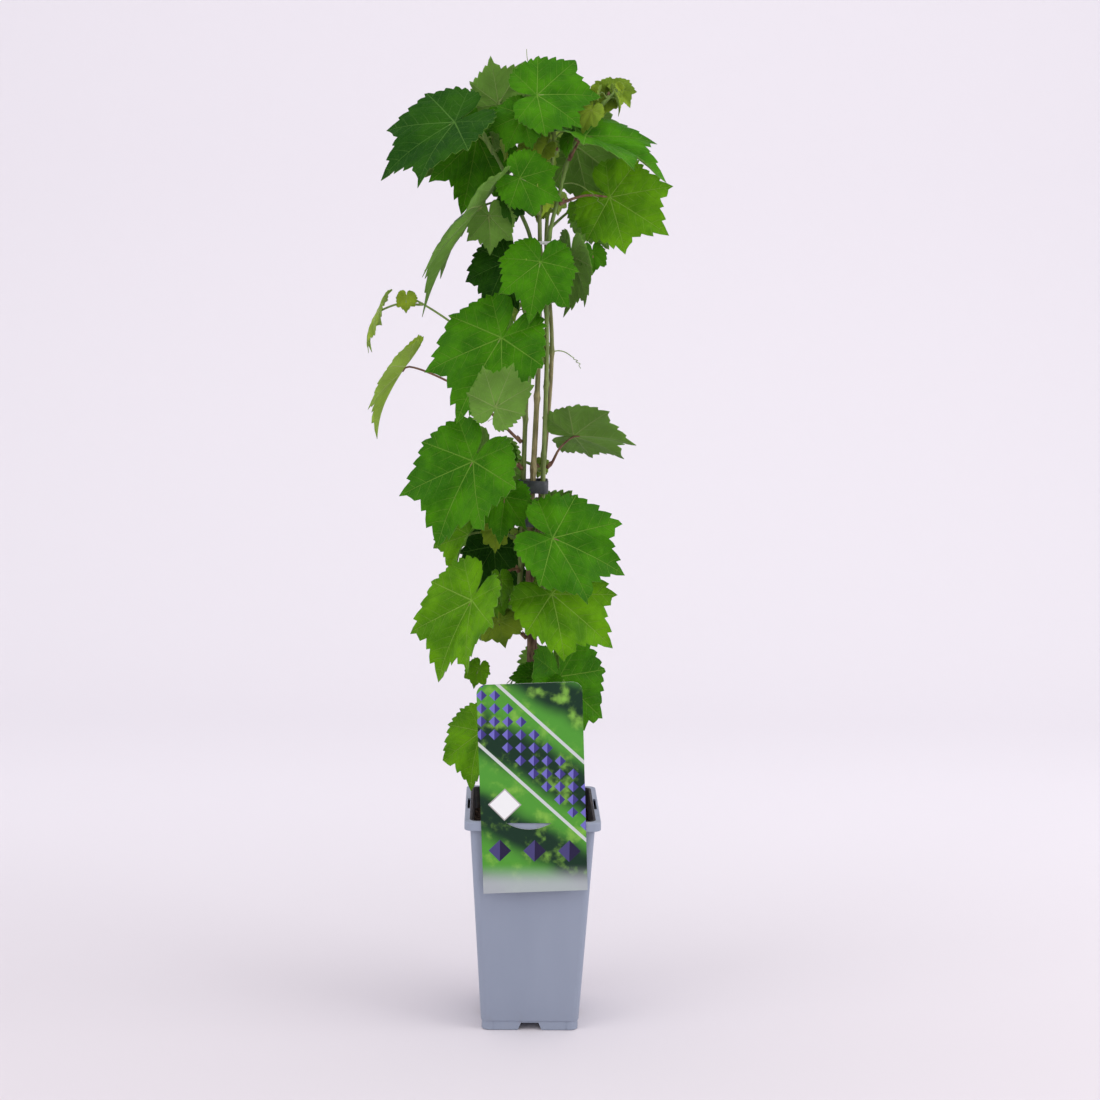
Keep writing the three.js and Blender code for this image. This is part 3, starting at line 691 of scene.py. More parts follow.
def blade_frame(look, lift, swing):
    a, b, c = (math.radians(v) for v in (look, lift, swing))
    face = vec(math.sin(a) * math.cos(b), -math.cos(a) * math.cos(b), math.sin(b))
    downhill = unit(vec(0, 0, -1) + face * face[2])
    midrib = downhill * math.cos(c) + np.cross(downhill, face) * math.sin(c)
    return face, midrib, np.cross(face, midrib)


def blade(leaf, base, draw):
    """Points, faces, slots and maps of one blade: upper shell, underside, and its edge."""
    size, fold = leaf["size"], math.radians(leaf["fold"])
    face, midrib, across = blade_frame(leaf["look"], leaf["lift"], leaf["swing"])
    large = size > 32
    angles, plain, toothed = leaf_margin(draw, 16 if large else 10)
    rings = np.array([0.04, 0.1, 0.18, 0.27, 0.36, 0.45, 0.54, 0.63, 0.72, 0.8, 0.88, 0.95, 1]
                     if large else [0.06, 0.2, 0.36, 0.52, 0.68, 0.84, 1])
    shape = {"phase": 6.3 * draw(), "wave": 0.008 + 0.018 * draw(), "curl": 0.12 * draw() - 0.02,
             "tip": 0.05 + 0.3 * draw(), "twist": 2 * draw() - 1}
    share = np.repeat(rings, len(angles))
    around = np.tile(angles, len(rings))
    edge = smooth_step(0.55, 1, share)
    reach = share * (np.tile(plain, len(rings)) * (1 - edge) + np.tile(toothed, len(rings)) * edge)
    share, around, reach = (np.concatenate([[0], v]) for v in (share, around, reach))
    rise = surface_rise(around, reach, share, shape) * size
    a = np.radians(around)
    along, aside = reach * np.cos(a) * size, reach * np.sin(a) * size * leaf["breadth"]
    crease = 0.05 * size
    bent = np.sqrt(aside**2 + crease**2)
    way = (aside / bent)[:, None]
    normal = face * math.cos(fold * 0.9) - across * way * math.sin(fold)
    normal = normal / np.linalg.norm(normal, axis=1, keepdims=True)
    middle = base + np.outer(along, midrib) + np.outer(aside * math.cos(fold), across)
    middle = middle + np.outer((bent - crease) * math.sin(fold), face) + normal * rise[:, None]
    half = BLADE_THICKNESS / 2
    count, n, last = len(middle), len(angles), 1 + (len(rings) - 1) * len(angles)
    points = np.concatenate([middle + normal * half, middle - normal * half,
                             (middle + normal * half)[last:]])
    faces, slots = [], []
    for first, slot in ((0, 0), (count, 1)):
        shell = [(first, first + 1 + i, first + 1 + (i + 1) % n) for i in range(n)]
        for r in range(len(rings) - 1):
            row = first + 1 + r * n
            for i in range(n):
                j = (i + 1) % n
                shell += [(row + i, row + n + i, row + n + j), (row + i, row + n + j, row + j)]
        faces += [f[::-1] for f in shell] if slot else shell
        slots += [slot] * len(shell)
    for i in range(n):
        j = (i + 1) % n
        faces.append((2 * count + i, count + last + i, count + last + j, 2 * count + j))
        slots.append(1)
    flat = np.stack([reach * np.sin(a), reach * np.cos(a)], -1)
    return points, faces, slots, np.concatenate([flat, flat, flat[last:] * 1.02]), count


# %% [markdown]
# ## The masses of foliage
#
# Each packed mass is one side stem with its leaves. The same rule grows it again here: the
# stem leaves its limb and arches up to the first leaf, and further leaves branch from it.
# The tint is partly the leaves' own green and partly painted shade and light: deep green for
# shaded leaves in the crown, brighter for lit leaves below.

# %% The plan of the masses


def grow(size, look, swing, **more):
    """A leaf: its length, the way it faces round the stem, and its swing off plumb."""
    return dict(size=size, look=look, swing=swing, **more)


# name, the limb it springs from, the height there, where its first leaf joins, tint, leaves
PLAN = [
    ("foot-left", "trunk", 270, (-50, -15, 290), "bright", [
        grow(55, -40, 5, fold=15), grow(20, -30, 10, turn=-40, climb=75, petiole=3.4, root=0.75)]),
    ("foot-right", "trunk", 320, (25, -15, 345), "mid", [
        grow(80, 35, -10, fold=20, lift=5, breadth=0.85), grow(35, 0, 50, turn=-30, lift=60)]),
    ("low-left", "shoot-left", 445, (-60, -50, 425), "bright", [
        grow(80, -40, 20, fold=25, breadth=0.8)]),
    ("low-side", "shoot-left", 475, (-65, 0, 480), "bright", [grow(45, -55, 20, fold=40)]),
    ("low-centre", "shoot-back", 445, (-40, 25, 465), "deep", [
        grow(60, -10, -5, fold=15, lift=5, breadth=0.8)]),
    ("low-right", "shoot-right", 440, (15, -40, 430), "bright", [grow(70, 5, -50, lift=20)]),
    ("low-shade", "trunk", 380, (-35, 5, 395), "young", [grow(30, -10, -20, lift=50)]),
    ("mid-right", "shoot-right", 470, (15, -50, 485), "mid", [
        grow(75, 10, -65, lift=25, breadth=0.9)]),
    ("mid-left", "shoot-left", 545, (-60, -40, 555), "mid", [grow(80, -25, 20, fold=20)]),
    ("mid-centre", "shoot-centre", 505, (-30, -25, 520), "mid", [grow(40, -5, 5)]),
    ("mid-side", "shoot-back", 545, (35, 10, 575), "mid", [grow(60, 165, 95, lift=50, fold=15)]),
    ("upper-left", "shoot-centre", 640, (-35, -40, 670), "mid", [
        grow(85, -20, 25, fold=15, breadth=0.9),
        grow(45, 180, 160, turn=-20, lift=10, climb=-60, petiole=1.2, breadth=0.85,
             nudge=(-10, -31, -6))]),
    ("side-shoot", "shoot-left", 610, (-125, 5, 705), "young", [
        grow(15, 0, 0),
        grow(55, -85, 50, turn=-85, fold=0, breadth=0.6, petiole=0.8, climb=-10, root=0.85)]),
    ("far-left", "shoot-left", 570, (-125, 0, 640), "young", [
        grow(70, -90, 10, fold=60, breadth=0.45, lift=35)]),
    ("waist-front", "shoot-centre", 715, (0, -40, 740), "mid", [
        grow(55, 0, 10, lift=30, breadth=0.9)]),
    ("waist-left", "shoot-left", 690, (-30, -10, 740), "deep", [grow(50, -25, 25, fold=10)]),
    ("waist-right", "shoot-right", 725, (30, -5, 745), "mid", [
        grow(55, 120, -10, fold=10, lift=10, breadth=0.85),
        grow(20, 20, 0, turn=85, climb=20, petiole=1.5)]),
    ("crown-left", "shoot-left", 860, (-80, -25, 865), "deep", [
        grow(80, -20, 50, lift=40, fold=15, breadth=0.75)]),
    ("crown-under", "shoot-left", 840, (-60, 20, 855), "mid", [
        grow(70, 10, 10, fold=15, breadth=0.8, lift=5)]),
    ("crown-hanging", "shoot-left", 790, (-55, -35, 790), "deep", [
        grow(110, -100, 5, lift=40, fold=25, breadth=0.5),
        grow(35, 170, 0, turn=-30, climb=-40, root=0.5)]),
    ("crown-centre", "shoot-centre", 785, (-20, -45, 815), "mid", [grow(40, 5, -65)]),
    ("crown-top", "shoot-centre", 860, (-5, -30, 890), "mid", [
        grow(55, 0, -95, lift=25), grow(36, -5, 25, turn=-60, climb=-45, petiole=0.5, root=0.7)]),
    ("crown-top-left", "shoot-centre", 845, (-40, 25, 885), "mid", [grow(45, 180, 150, lift=10)]),
    ("crown-right", "shoot-right", 835, (40, -25, 855), "mid", [
        grow(80, 20, -55, lift=60, fold=35, breadth=0.6)]),
    ("crown-low-right", "shoot-right", 795, (65, 5, 800), "bright", [grow(60, -10, -60, lift=15)]),
    ("tip-right", "shoot-right", 890, (60, 10, 895), "young", [
        grow(30, 10, 50, lift=5, fold=38, breadth=0.85), grow(20, 20, -40, turn=110, fold=40)]),
    ("flank-foot", "trunk", 290, (-25, 25, 310), "mid", [grow(45, -95, -5, lift=10)]),
    ("flank-low", "shoot-right", 460, (40, 10, 485), "bright", [grow(50, 85, 10, lift=10)]),
    ("flank-left", "shoot-left", 510, (-70, 0, 555), "bright", [grow(40, -85, 5, lift=10)]),
]
BACKED = ("foot-right", "low-left", "low-right", "mid-right", "mid-left", "upper-left",
          "waist-front", "crown-centre", "crown-left", "crown-low-right", "crown-right",
          "crown-top")
BACK_DEPTH, BACK_DROP = (40, 52), (14, 30)
fronts = {row[0]: row for row in PLAN}
for i, name in enumerate(BACKED):
    _, _, _, (x, _, z), tint, leaves = fronts[name]
    leaf, height = leaves[0], z - BACK_DROP[i % 2]
    PLAN.append((
        "back-" + name, "trunk" if height < 405 else "shoot-back", height,
        (x * 0.82, BACK_DEPTH[i % 2], z - 6), tint,
        [grow(leaf["size"] * 0.8, 180 - 0.6 * leaf["look"], -leaf["swing"], lift=8)],
    ))
print(len(PLAN), "masses,", sum(len(row[-1]) for row in PLAN), "leaves")

# %% Grow stems, stalks and blades
STEM, STALK, TIP = 1.6, 1.15, 0.9
BARE = ("far-left", "side-shoot", "mid-side", "crown-low-right", "foot-left", "low-shade",
        "crown-left", "mid-centre")
RED_STALKS = ("crown-low-right", "crown-right", "mid-left", "far-left", "low-left", "waist-right")
blades = {tint: [] for tint in TINTS}
stalks = {"green": Heap(), "red": Heap()}
bud_spots = []


def dressed(entry, draw):
    chance = [draw(), draw(), draw()]
    leaf = {"lift": 12 + 14 * chance[0], "fold": 4 + 10 * chance[1], "breadth": 1, **entry}
    leaf["breadth"] *= 0.94 + 0.12 * chance[2]
    return leaf


def direction(turn, climb):
    a, b = math.radians(turn), math.radians(climb)
    return vec(math.sin(a) * math.cos(b), -math.cos(a) * math.cos(b), math.sin(b))


def sprout(root, heading, leaf, base, radii, colour, tint, draw, sides=10):
    """One leaf on its stalk: the stalk's tube now, and the blade's place for later."""
    face, midrib, _ = blade_frame(leaf["look"], leaf["lift"], leaf["swing"])
    behind = base - 1.2 * face
    arch = (root + behind) / 2 + vec(0, 0, 0.1 * np.linalg.norm(base - root))
    route = Route([root, root + 4 * heading, arch, behind, base + 6 * midrib - 0.5 * face])
    shares = np.linspace(0, 1, max(8, int(route.length / 4)))
    swell = 1 + 0.5 * np.exp(-((shares * route.length / 3) ** 2))
    stalks[colour].add(*tube(route.at(shares), spread(radii, shares) * swell, sides))
    blades[tint].append((leaf, base, draw))
    return route


for index, (name, limb, height, end, tint, leaves) in enumerate(PLAN):
    draw = seeded(1000 + 77 * index)
    extra = seeded(9000 + 131 * index)
    first, end = dressed(leaves[0], draw), vec(*end)
    start, out = leaving(limb, height, end, STEM)
    colour = "red" if name in RED_STALKS or extra() < 0.25 else "green"
    stem = sprout(start - out, out, first, end, [STEM, STALK, TIP], colour, tint, extra)
    bud_spots.append((start, out))
    for i, entry in enumerate(leaves[1:]):
        leaf = dressed(entry, draw)
        root = stem.at(entry.get("root", lerp(0.85, 0.25, (i + 1) / len(leaves))))
        heading = direction(entry["turn"], entry.get("climb", 25))
        base = root + heading * leaf["size"] * entry.get("petiole", 0.55)
        base = base + vec(*entry.get("nudge", (0, 0, 0)))
        sprout(root, heading, leaf, base, [STALK, TIP], colour, tint, extra)
    if stem.length > 35 and name not in BARE:
        share, way = 0.4 + 0.2 * extra(), math.copysign(1, extra() - 0.5)
        side = np.cross(stem.heading(share), vec(0, 0, way))
        turn = math.degrees(math.atan2(side[0], -side[1]))
        leaf = dressed(grow(16 + 12 * extra(), turn, 40 * extra() - 20), extra)
        root, heading = stem.at(share), direction(turn, 20)
        sprout(root, heading, leaf, root + heading * leaf["size"] * 0.6, [0.9, 0.7], colour,
               tint if extra() < 0.6 else "young", extra, 8)

# %% [markdown]
# ## Finer growth
#
# Close to, a vine carries more than its big leaves: a bud in each leaf's axil, tiny folded
# leaves at the growing tips, and tendrils that coil when they touch something.

# %% Buds, young tips and tendrils
axils = seeded(77)
for start, out in bud_spots:
    up = unit(out + vec(0, 0, 1.4))
    shares = np.linspace(0, 1, 6)
    line = start + 1.2 * out + np.outer(shares * 5.5, up)
    stalks["red"].add(*tube(line, [1.1, 1.7, 1.8, 1.4, 0.9, 0.3], 8))
    if axils() < 0.45:
        turn = 360 * axils()
        heading = direction(turn, 30)
        leaf = dressed(grow(9 + 7 * axils(), turn, 60 * axils() - 30, fold=35), axils)
        sprout(start, heading, leaf, start + 9 * heading, [0.7, 0.5], "green", "young", axils, 6)

for name in ("shoot-centre", "shoot-right", "shoot-back"):
    route, _ = limbs[name]
    for k in range(6):
        root = route.at(1 - 0.012 * k)
        turn = 137.5 * k + 40 * axils()
        heading = direction(turn, 60 - 11 * k)
        leaf = dressed(grow(8 + 2.6 * k, turn, 70 * axils() - 35, fold=50 - 7 * k, lift=20,
                            breadth=0.85), axils)
        sprout(root, heading, leaf, root + (4 + 3 * k) * heading, [0.8, 0.5], "green", "young",
               axils, 6)


def tendril(limb, height, turn, reach, drop, coil):
    """A thin thread that reaches out, sags or climbs, and winds up at its end."""
    centre, _, radius = on_limb(limb, height)
    out = direction(turn, 0)
    start = centre + out * radius * 0.8
    t = np.linspace(0, 1, 90)
    arm = start + np.outer(t * reach, out) + np.outer(-drop * t**2 + 0.25 * reach * t, vec(0, 0, 1))
    wind = smooth_step(0.6, 1, t)
    side = np.cross(out, vec(0, 0, 1))
    angle = coil * 2 * math.pi * wind
    size = 3.2 * wind * (1.35 - wind)
    arm = arm + np.outer(size * np.sin(angle), side) + np.outer(size * (1 - np.cos(angle)), out)
    stalks["green"].add(*tube(arm, np.interp(t, [0, 0.5, 1], [0.7, 0.5, 0.3]), 6))


for row in (
    ("shoot-centre", 868, -20, 12, -62, 1.2), ("shoot-right", 812, 70, 38, 30, 2.5),
    ("trunk", 350, -60, 30, 34, 2), ("shoot-left", 600, -110, 34, 22, 2.5),
    ("shoot-back", 655, 130, 36, 26, 3), ("shoot-back", 520, 200, 34, 20, 2),
):
    tendril(*row)

# %% Turn the growth into pieces
piece_from("stalks-green", stalks["green"], [stalk_green], "foliage")
piece_from("stalks-red", stalks["red"], [stalk_red], "foliage")
for tint, grown in blades.items():
    heap = Heap()
    cells = math.ceil(math.sqrt(2 * len(grown)))
    for i, (leaf, base, draw) in enumerate(grown):
        points, faces, slots, flat, count = blade(leaf, base, draw)
        cell = np.full(len(points), 2 * i + 1)
        cell[:count] = 2 * i
        corner = np.stack([cell % cells, cell // cells], -1)
        within = 0.03 + 0.94 * (flat + [0.86, 0.62]) / [1.72, 1.74]
        heap.add(points, faces, slots, leaf=flat, OFBake=(corner + within) / cells)
    masses = ["leaves-" + row[0] for row in PLAN if row[4] == tint]
    piece_from("blades-" + tint, heap, TINTS[tint], "foliage", masses)

# %% [markdown]
# ## The pot
#
# A moulded nursery pot is drawn as one run of square rings with round corners: up the
# outside, under and over the flanged lip, down the inside and across the floor. The holes
# come after: lifting slots in the lip with a web under each, drain notches at the foot, four
# hollow feet with a drain hole each. Boolean modifiers join and cut plain boxes and cylinders.

# %% Pot shape
TOP_HALF, FOOT_HALF = 59.6, 47.6
LIP, LIP_WALL, WALL, BAND, FLOOR, CORNER = 8.5, 1.7, 1.9, 9.5, 9, 7


def square_ring(half, z, radius=CORNER, *, per_corner):
    radius = min(radius, half)
    ring = []
    for corner in range(4):
        middle = math.radians(45 + 90 * corner)
        cx, cy = (math.copysign(half - radius, f(middle)) for f in (math.cos, math.sin))
        for i in range(per_corner):
            a = math.radians(90 * corner + 90 * i / (per_corner - 1))
            ring.append((cx + radius * math.cos(a), cy + radius * math.sin(a), z))
    return ring


def square_loft(profile, per_corner=10):
    """A closed mesh through square rings given as (half width, height[, corner radius])."""
    rings = [square_ring(*row, per_corner=per_corner) for row in profile]
    return np.array(sum(rings, [])), skin(len(rings), len(rings[0]))


def bend(from_row, to_row, corner, steps=4):
    """Rings that round a profile's corner, from one row to the next."""
    rows = []
    for t in np.linspace(0, 1, steps):
        a, b, c = (vec(*row[:2]) for row in (from_row, corner, to_row))
        rows.append(tuple((1 - t) ** 2 * a + 2 * t * (1 - t) * b + t**2 * c))
    return rows


def inner(z):
    """Half the width of the pot's inside at a height."""
    return lerp(FOOT_HALF - WALL, TOP_HALF - WALL, (z - FLOOR) / (HEIGHT - FLOOR))


lip_foot, groove_top = HEIGHT - LIP, HEIGHT - LIP_WALL
groove_in, groove_out = TOP_HALF + 0.5, RIM_HALF - LIP_WALL
groove_middle = (groove_in + groove_out) / 2
small = CORNER - WALL
profile = [
    (FOOT_HALF - 1.2, 0), (FOOT_HALF - 0.8, 0.5), (FOOT_HALF - 0.8, BAND - 0.7),
    *bend((FOOT_HALF - 0.7, BAND - 0.6), (FOOT_HALF + 0.02, BAND + 0.5), (FOOT_HALF, BAND - 0.3)),
    *[(lerp(FOOT_HALF, TOP_HALF, t), lerp(BAND, lip_foot, t)) for t in (0.15, 0.4, 0.7, 0.98)],
    (groove_in, lip_foot + 0.6), (groove_in, groove_top - 0.5),
    *bend((groove_in, groove_top - 0.5), (groove_out, groove_top - 0.5),
          (groove_middle, groove_top + 0.5)),
    (groove_out, lip_foot + 0.3), (groove_out + 0.3, lip_foot), (RIM_HALF - 0.4, lip_foot),
    (RIM_HALF, lip_foot + 0.4), (RIM_HALF, HEIGHT - 1.2),
    *bend((RIM_HALF, HEIGHT - 1.1), (RIM_HALF - 1.1, HEIGHT), (RIM_HALF, HEIGHT)),
    (groove_in, HEIGHT), (inner(HEIGHT) + 0.7, HEIGHT, small),
    (inner(HEIGHT) + 0.2, HEIGHT - 0.2, small), (inner(HEIGHT), HEIGHT - 0.8, small),
    (inner(180), 180, small), (inner(90), 90, small), (inner(FLOOR), FLOOR, small),
]


def solid_object(name, points, faces):
    mesh = bpy.data.meshes.new(name)
    mesh.from_pydata((np.array(points) * MM).tolist(), [], faces)
    mesh.update()
    return show(bpy.data.objects.new(name, mesh))


def add_box(heap, quarter, size, middle, narrow=1.0):
    """A box in a heap, turned by quarters round the pot; its top may be narrower."""
    corners = [np.array(middle) + np.array(size) / 2 * (sx * (narrow if rise > 0 else 1), sy, rise)
               for rise in (-1, 1) for sx, sy in ((-1, -1), (1, -1), (1, 1), (-1, 1))]
    x, y, z = np.array(corners).T
    for _ in range(quarter):
        x, y = -y, x
    heap.add(np.stack([x, y, z], -1), skin(2, 4))


def baked_copy(name, source):
    """A mesh of an object with its modifiers carried out; the source is removed."""
    bpy.context.view_layer.update()
    mesh = bpy.data.meshes.new_from_object(
        source.evaluated_get(bpy.context.evaluated_depsgraph_get()))
    bpy.data.objects.remove(source)
    mesh.name = name
    return bpy.data.objects.new(name, mesh)


SLOT_LENGTH, SLOT_WIDTH, WEB_LENGTH, TICK = 36, 2.6, 88, 35.5
NOTCH_FOOT, NOTCH_TOP = 24, 17
FOOT_CENTRE, FOOT_SIDE, DRAIN_RADIUS, DRAIN_SIDES = 25, 38, 4, 32
web_top = lip_foot + 2.1
webs, first_cut, second_cut = Heap(), Heap(), Heap()
turn = 2 * np.pi * np.arange(DRAIN_SIDES) / DRAIN_SIDES
for quarter in range(4):
    add_box(webs, quarter, (WEB_LENGTH, groove_out - groove_in + 1.4, 1.2),
            (0, -groove_middle, web_top - 0.6))
    add_box(first_cut, quarter, (SLOT_LENGTH, SLOT_WIDTH, 4), (0, -groove_middle, HEIGHT))
    add_box(second_cut, quarter, (NOTCH_FOOT, 20, 8.5), (0, -FOOT_HALF + 8, 3.25),
            NOTCH_TOP / NOTCH_FOOT)
    for side in (-TICK, TICK):
        add_box(second_cut, quarter, (0.5, 1, BAND - 0.5), (side, -FOOT_HALF + 0.8, BAND / 2 - 0.1))
    x, y = (FOOT_CENTRE * (2 * half - 1) for half in (quarter % 2, quarter // 2))
    add_box(first_cut, 0, (FOOT_SIDE, FOOT_SIDE, 12), (x, y, 0))
    ring = DRAIN_RADIUS * np.stack([np.cos(turn), np.sin(turn), 0 * turn], -1) + [x, y, 0]
    second_cut.add(np.concatenate([ring + [0, 0, 3], ring + [0, 0, 20]]), skin(2, DRAIN_SIDES))

pot = solid_object("pot-shape", *square_loft(profile))
tools = []
for heap, way in ((webs, "UNION"), (first_cut, "DIFFERENCE"), (second_cut, "DIFFERENCE")):
    tools.append(solid_object("pot-tool", np.concatenate(heap.points), heap.faces))
    step = pot.modifiers.new(way, "BOOLEAN")
    step.operation, step.solver, step.object = way, "EXACT", tools[-1]
pot = baked_copy("pot-moulded", pot)
for tool in tools:
    bpy.data.objects.remove(tool)

# %% [markdown]
# The plastic is matte, with a faint orange-peel grain from its mould, slight flow marks up
# the walls, and a little dust of soil near the rim and foot.

# %% Pot plastic
plastic, t = finish("pot plastic", Roughness=0.52, Specular_IOR_Level=0.4)
place = t.place()
up = t.split(place)["Z"]
flow = t.noise(t.stretched(place, (1.0, 1.0, 0.2)), 26.0, detail=4)
base = t.mix(t.ramp(flow, 0.3, 0.75), (0.255, 0.293, 0.372), (0.272, 0.31, 0.39))
rim_dust = t.ramp(up, 0.17, 0.214)
foot_dust = t.fall(up, 0.0, 0.03)
speckle = t.ramp(t.noise(place, 90.0, 6), 0.52, 0.8)
dust = t.times(t.math("MAXIMUM", rim_dust, foot_dust), speckle)
base = t.mix(t.times(dust, 0.22), base, (0.20, 0.15, 0.11))
t.paint(base)
t.links.new(t.scaled(dust, 0.25, 0.5), t.coat["Roughness"])
t.relief(t.noise(place, 1400.0, 2), 0.00006, 0.5)
# The inside of the pot and the inner edge of its rim take a near-black finish with brown stains.
# The top of the web under each lifting slot takes the same finish as painted shade, so the slot
# looks dark.
dark_inside_and_slot_shade, t = finish("pot inside and slot shade", Roughness=0.6, Specular_IOR_Level=0.3)
stain = t.ramp(t.noise(t.place(), 120.0, 6), 0.4, 0.75)
t.paint(t.mix(stain, (0.013, 0.013, 0.015), (0.04, 0.03, 0.024)))
t.relief(stain, 0.0003, 0.5)
dress(pot.data, [plastic, dark_inside_and_slot_shade])
inward, core = [], groove_in - CORNER
for polygon in pot.data.polygons:
    (x, y, z), n = polygon.center / MM, polygon.normal
    within = max(abs(x), abs(y)) < inner(z) + 0.3 and FLOOR - 0.1 < z < HEIGHT - 1
    inside = within and (x * n[0] + y * n[1] < -0.1 or n[2] > 0.9)
    reach = core + math.hypot(max(abs(x) - core, 0), max(abs(y) - core, 0))
    inner_edge = z > HEIGHT - 1.3 and reach < groove_in - 0.05
    # Painted shade: the top of the web under each lifting slot gets the near-black finish.
    slot_shade_web = abs(z - web_top) < 0.1 and n[2] > 0.9
    inward.append(int(inside or inner_edge or slot_shade_web))
pot.data.polygons.foreach_set("material_index", inward)
pot.data.set_sharp_from_angle(angle=math.radians(38))
put(pot, "pot_plastic", ["pot"])

# %% [markdown]
# ## The soil
#
# Compost fills the pot to just below its rim. Its top is a gentle mound with a rough
# surface; a Geometry Nodes tree scatters crumbs over it, each one a small rough lump.

# %% Soil mound
soil_dark, t = finish("soil", Roughness=0.95, Specular_IOR_Level=0.15)
grain = t.noise(t.place(), 260.0, detail=8, roughness=0.7)
base = t.mix(t.ramp(grain, 0.35, 0.7), (0.012, 0.008, 0.006), (0.075, 0.048, 0.032))
t.paint(base)
t.relief(grain, 0.0012, 0.9)
SOIL_EDGE, SOIL_TOP, MOUND_CORNER = 193, 197, 24
rows = [(inner(FLOOR) - 0.4, FLOOR + 0.3, small), (inner(100) - 0.4, 100, small)]
for t_in in np.linspace(0, 1, 44):
    half = lerp(inner(SOIL_EDGE) - 0.4, 1.0, t_in)
    rows.append((half, lerp(SOIL_EDGE, SOIL_TOP, smooth_step(0, 0.75, t_in)), small))
soil_points, faces = square_loft(rows, MOUND_CORNER)
for point in soil_points[3 * 4 * MOUND_CORNER:]:
    point[2] += 1.3 * noise.fractal(Vector(point * 0.11), 0.8, 2.1, 4) - 0.5
soil_heap = Heap()
soil_heap.add(soil_points, faces)
soil = piece_from("soil-mound", soil_heap, [soil_dark], "soil", ["soil"])

# %% Crumbs scattered by Geometry Nodes
crumb_tree, g, given, result = group(
    "soil crumbs", "GeometryNodeTree",
    {"Surface": "Object", "Density": "Float", "Seed": "Int", "Finish": "Material"},
    {"Geometry": "Geometry"})
LUMP_RADIUS, LUMP_SHIFT = 0.0011, 0.0014
surface = g.add("GeometryNodeObjectInfo", {"Object": given["Surface"]}).outputs["Geometry"]
facing = g.split(g.add("GeometryNodeInputNormal").outputs[0])["Z"]
upward = g.add("FunctionNodeCompare", {0: facing, 1: 0.5}, operation="GREATER_THAN").outputs[0]
spots = g.add("GeometryNodeDistributePointsOnFaces", {
    "Mesh": surface, "Selection": upward, "Density": given["Density"],
    "Seed": given["Seed"]}).outputs["Points"]
lump = g.add("GeometryNodeMeshIcoSphere", {"Radius": LUMP_RADIUS, "Subdivisions": 2}).outputs[0]
rough = g.add("ShaderNodeTexNoise", {"Scale": 900.0, "Detail": 2.0}).outputs["Color"]
shift = g.add("ShaderNodeVectorMath", {0: rough, 1: (0.5, 0.5, 0.5)}, operation="SUBTRACT")
shift = g.add("ShaderNodeVectorMath", {0: shift.outputs[0], "Scale": LUMP_SHIFT},
              operation="SCALE").outputs[0]
lump = g.add("GeometryNodeSetPosition", {"Geometry": lump, "Offset": shift}).outputs[0]
turn, size = (g.add("FunctionNodeRandomValue", {0: low, 1: high, "Seed": seed},
                    data_type="FLOAT_VECTOR").outputs[0]
              for low, high, seed in (((0, 0, 0), (6.3, 6.3, 6.3), 3),
                                      ((0.4, 0.4, 0.3), (1.5, 1.5, 1.0), 5)))
crumbs = g.add("GeometryNodeInstanceOnPoints", {
    "Points": spots, "Instance": lump, "Rotation": turn, "Scale": size}).outputs[0]
crumbs = g.add("GeometryNodeRealizeInstances", {0: crumbs}).outputs[0]
crumbs = g.add("GeometryNodeSetMaterial", {"Geometry": crumbs, "Material": given["Finish"]})
g.links.new(crumbs.outputs[0], result["Geometry"])

holder = show(bpy.data.objects.new("crumb-holder", bpy.data.meshes.new("crumb-holder")))
modifier = holder.modifiers.new("crumbs", "NODES")
modifier.node_group = crumb_tree
names = {item.name: item.identifier for item in crumb_tree.interface.items_tree}
for name, value in (("Surface", soil), ("Density", 62000.0), ("Seed", 11), ("Finish", soil_dark)):
    modifier[names[name]] = value
crumb_piece = baked_copy("soil-crumbs", holder)
crumb_piece.data.polygons.foreach_set("use_smooth", [True] * len(crumb_piece.data.polygons))
put(crumb_piece, "soil")

# %% [markdown]
# ## The label
#
# A printed card stands in front of the rim. A tongue cut out of it is bent back over the
# rim and carries it. Its print is a plain pattern made for this model: mottled bands of
# green, a slanting ribbon of blue-violet lozenges between two pale lines, one pale lozenge
# and three dark ones, and a grey-white strip along its foot.

# %% Card and tongue
WIDTH, TALL, CARD, ROUND, BEVEL = 99, 203, 1.0, 9, 0.15
CARD_X, CARD_Z, LEAN = -1, 248, math.radians(2.5)
TONGUE_X, TONGUE_WIDTH, TONGUE_DROP, TONGUE_HALF_THICK = -4, 44, 6.5, 0.42
card_front = -(RIM_HALF + 0.3 + CARD)
hinge = HEIGHT + 0.3


def arc(cx, cz, radius, low, high, steps=10):
    return [(cx + radius * math.cos(a), cz + radius * math.sin(a))
            for a in np.radians(np.linspace(low, high, steps))]


outline = [(-WIDTH / 2, -TALL / 2), (WIDTH / 2, -TALL / 2)]
outline += arc(WIDTH / 2 - ROUND, TALL / 2 - ROUND, ROUND, 0, 90)
outline += arc(-WIDTH / 2 + ROUND, TALL / 2 - ROUND, ROUND, 90, 180)
turned = [(CARD_X + x * math.cos(LEAN) - z * math.sin(LEAN),
           CARD_Z + x * math.sin(LEAN) + z * math.cos(LEAN)) for x, z in outline]
opening = [(TONGUE_X + TONGUE_WIDTH * (s - 0.5), hinge - 4 * TONGUE_DROP * s * (1 - s))
           for s in np.linspace(0, 1, 25)]
sheet = bpy.data.curves.new("card", "CURVE")
sheet.dimensions, sheet.fill_mode = "2D", "BOTH"
sheet.extrude, sheet.bevel_depth = (CARD / 2 - BEVEL) * MM, BEVEL * MM
for loop in (turned, opening):
    spline = sheet.splines.new("POLY")
    spline.points.add(len(loop) - 1)
    spline.use_cyclic_u = True
    for spot, (x, z) in zip(spline.points, loop):
        spot.co = (x * MM, z * MM, 0, 1)
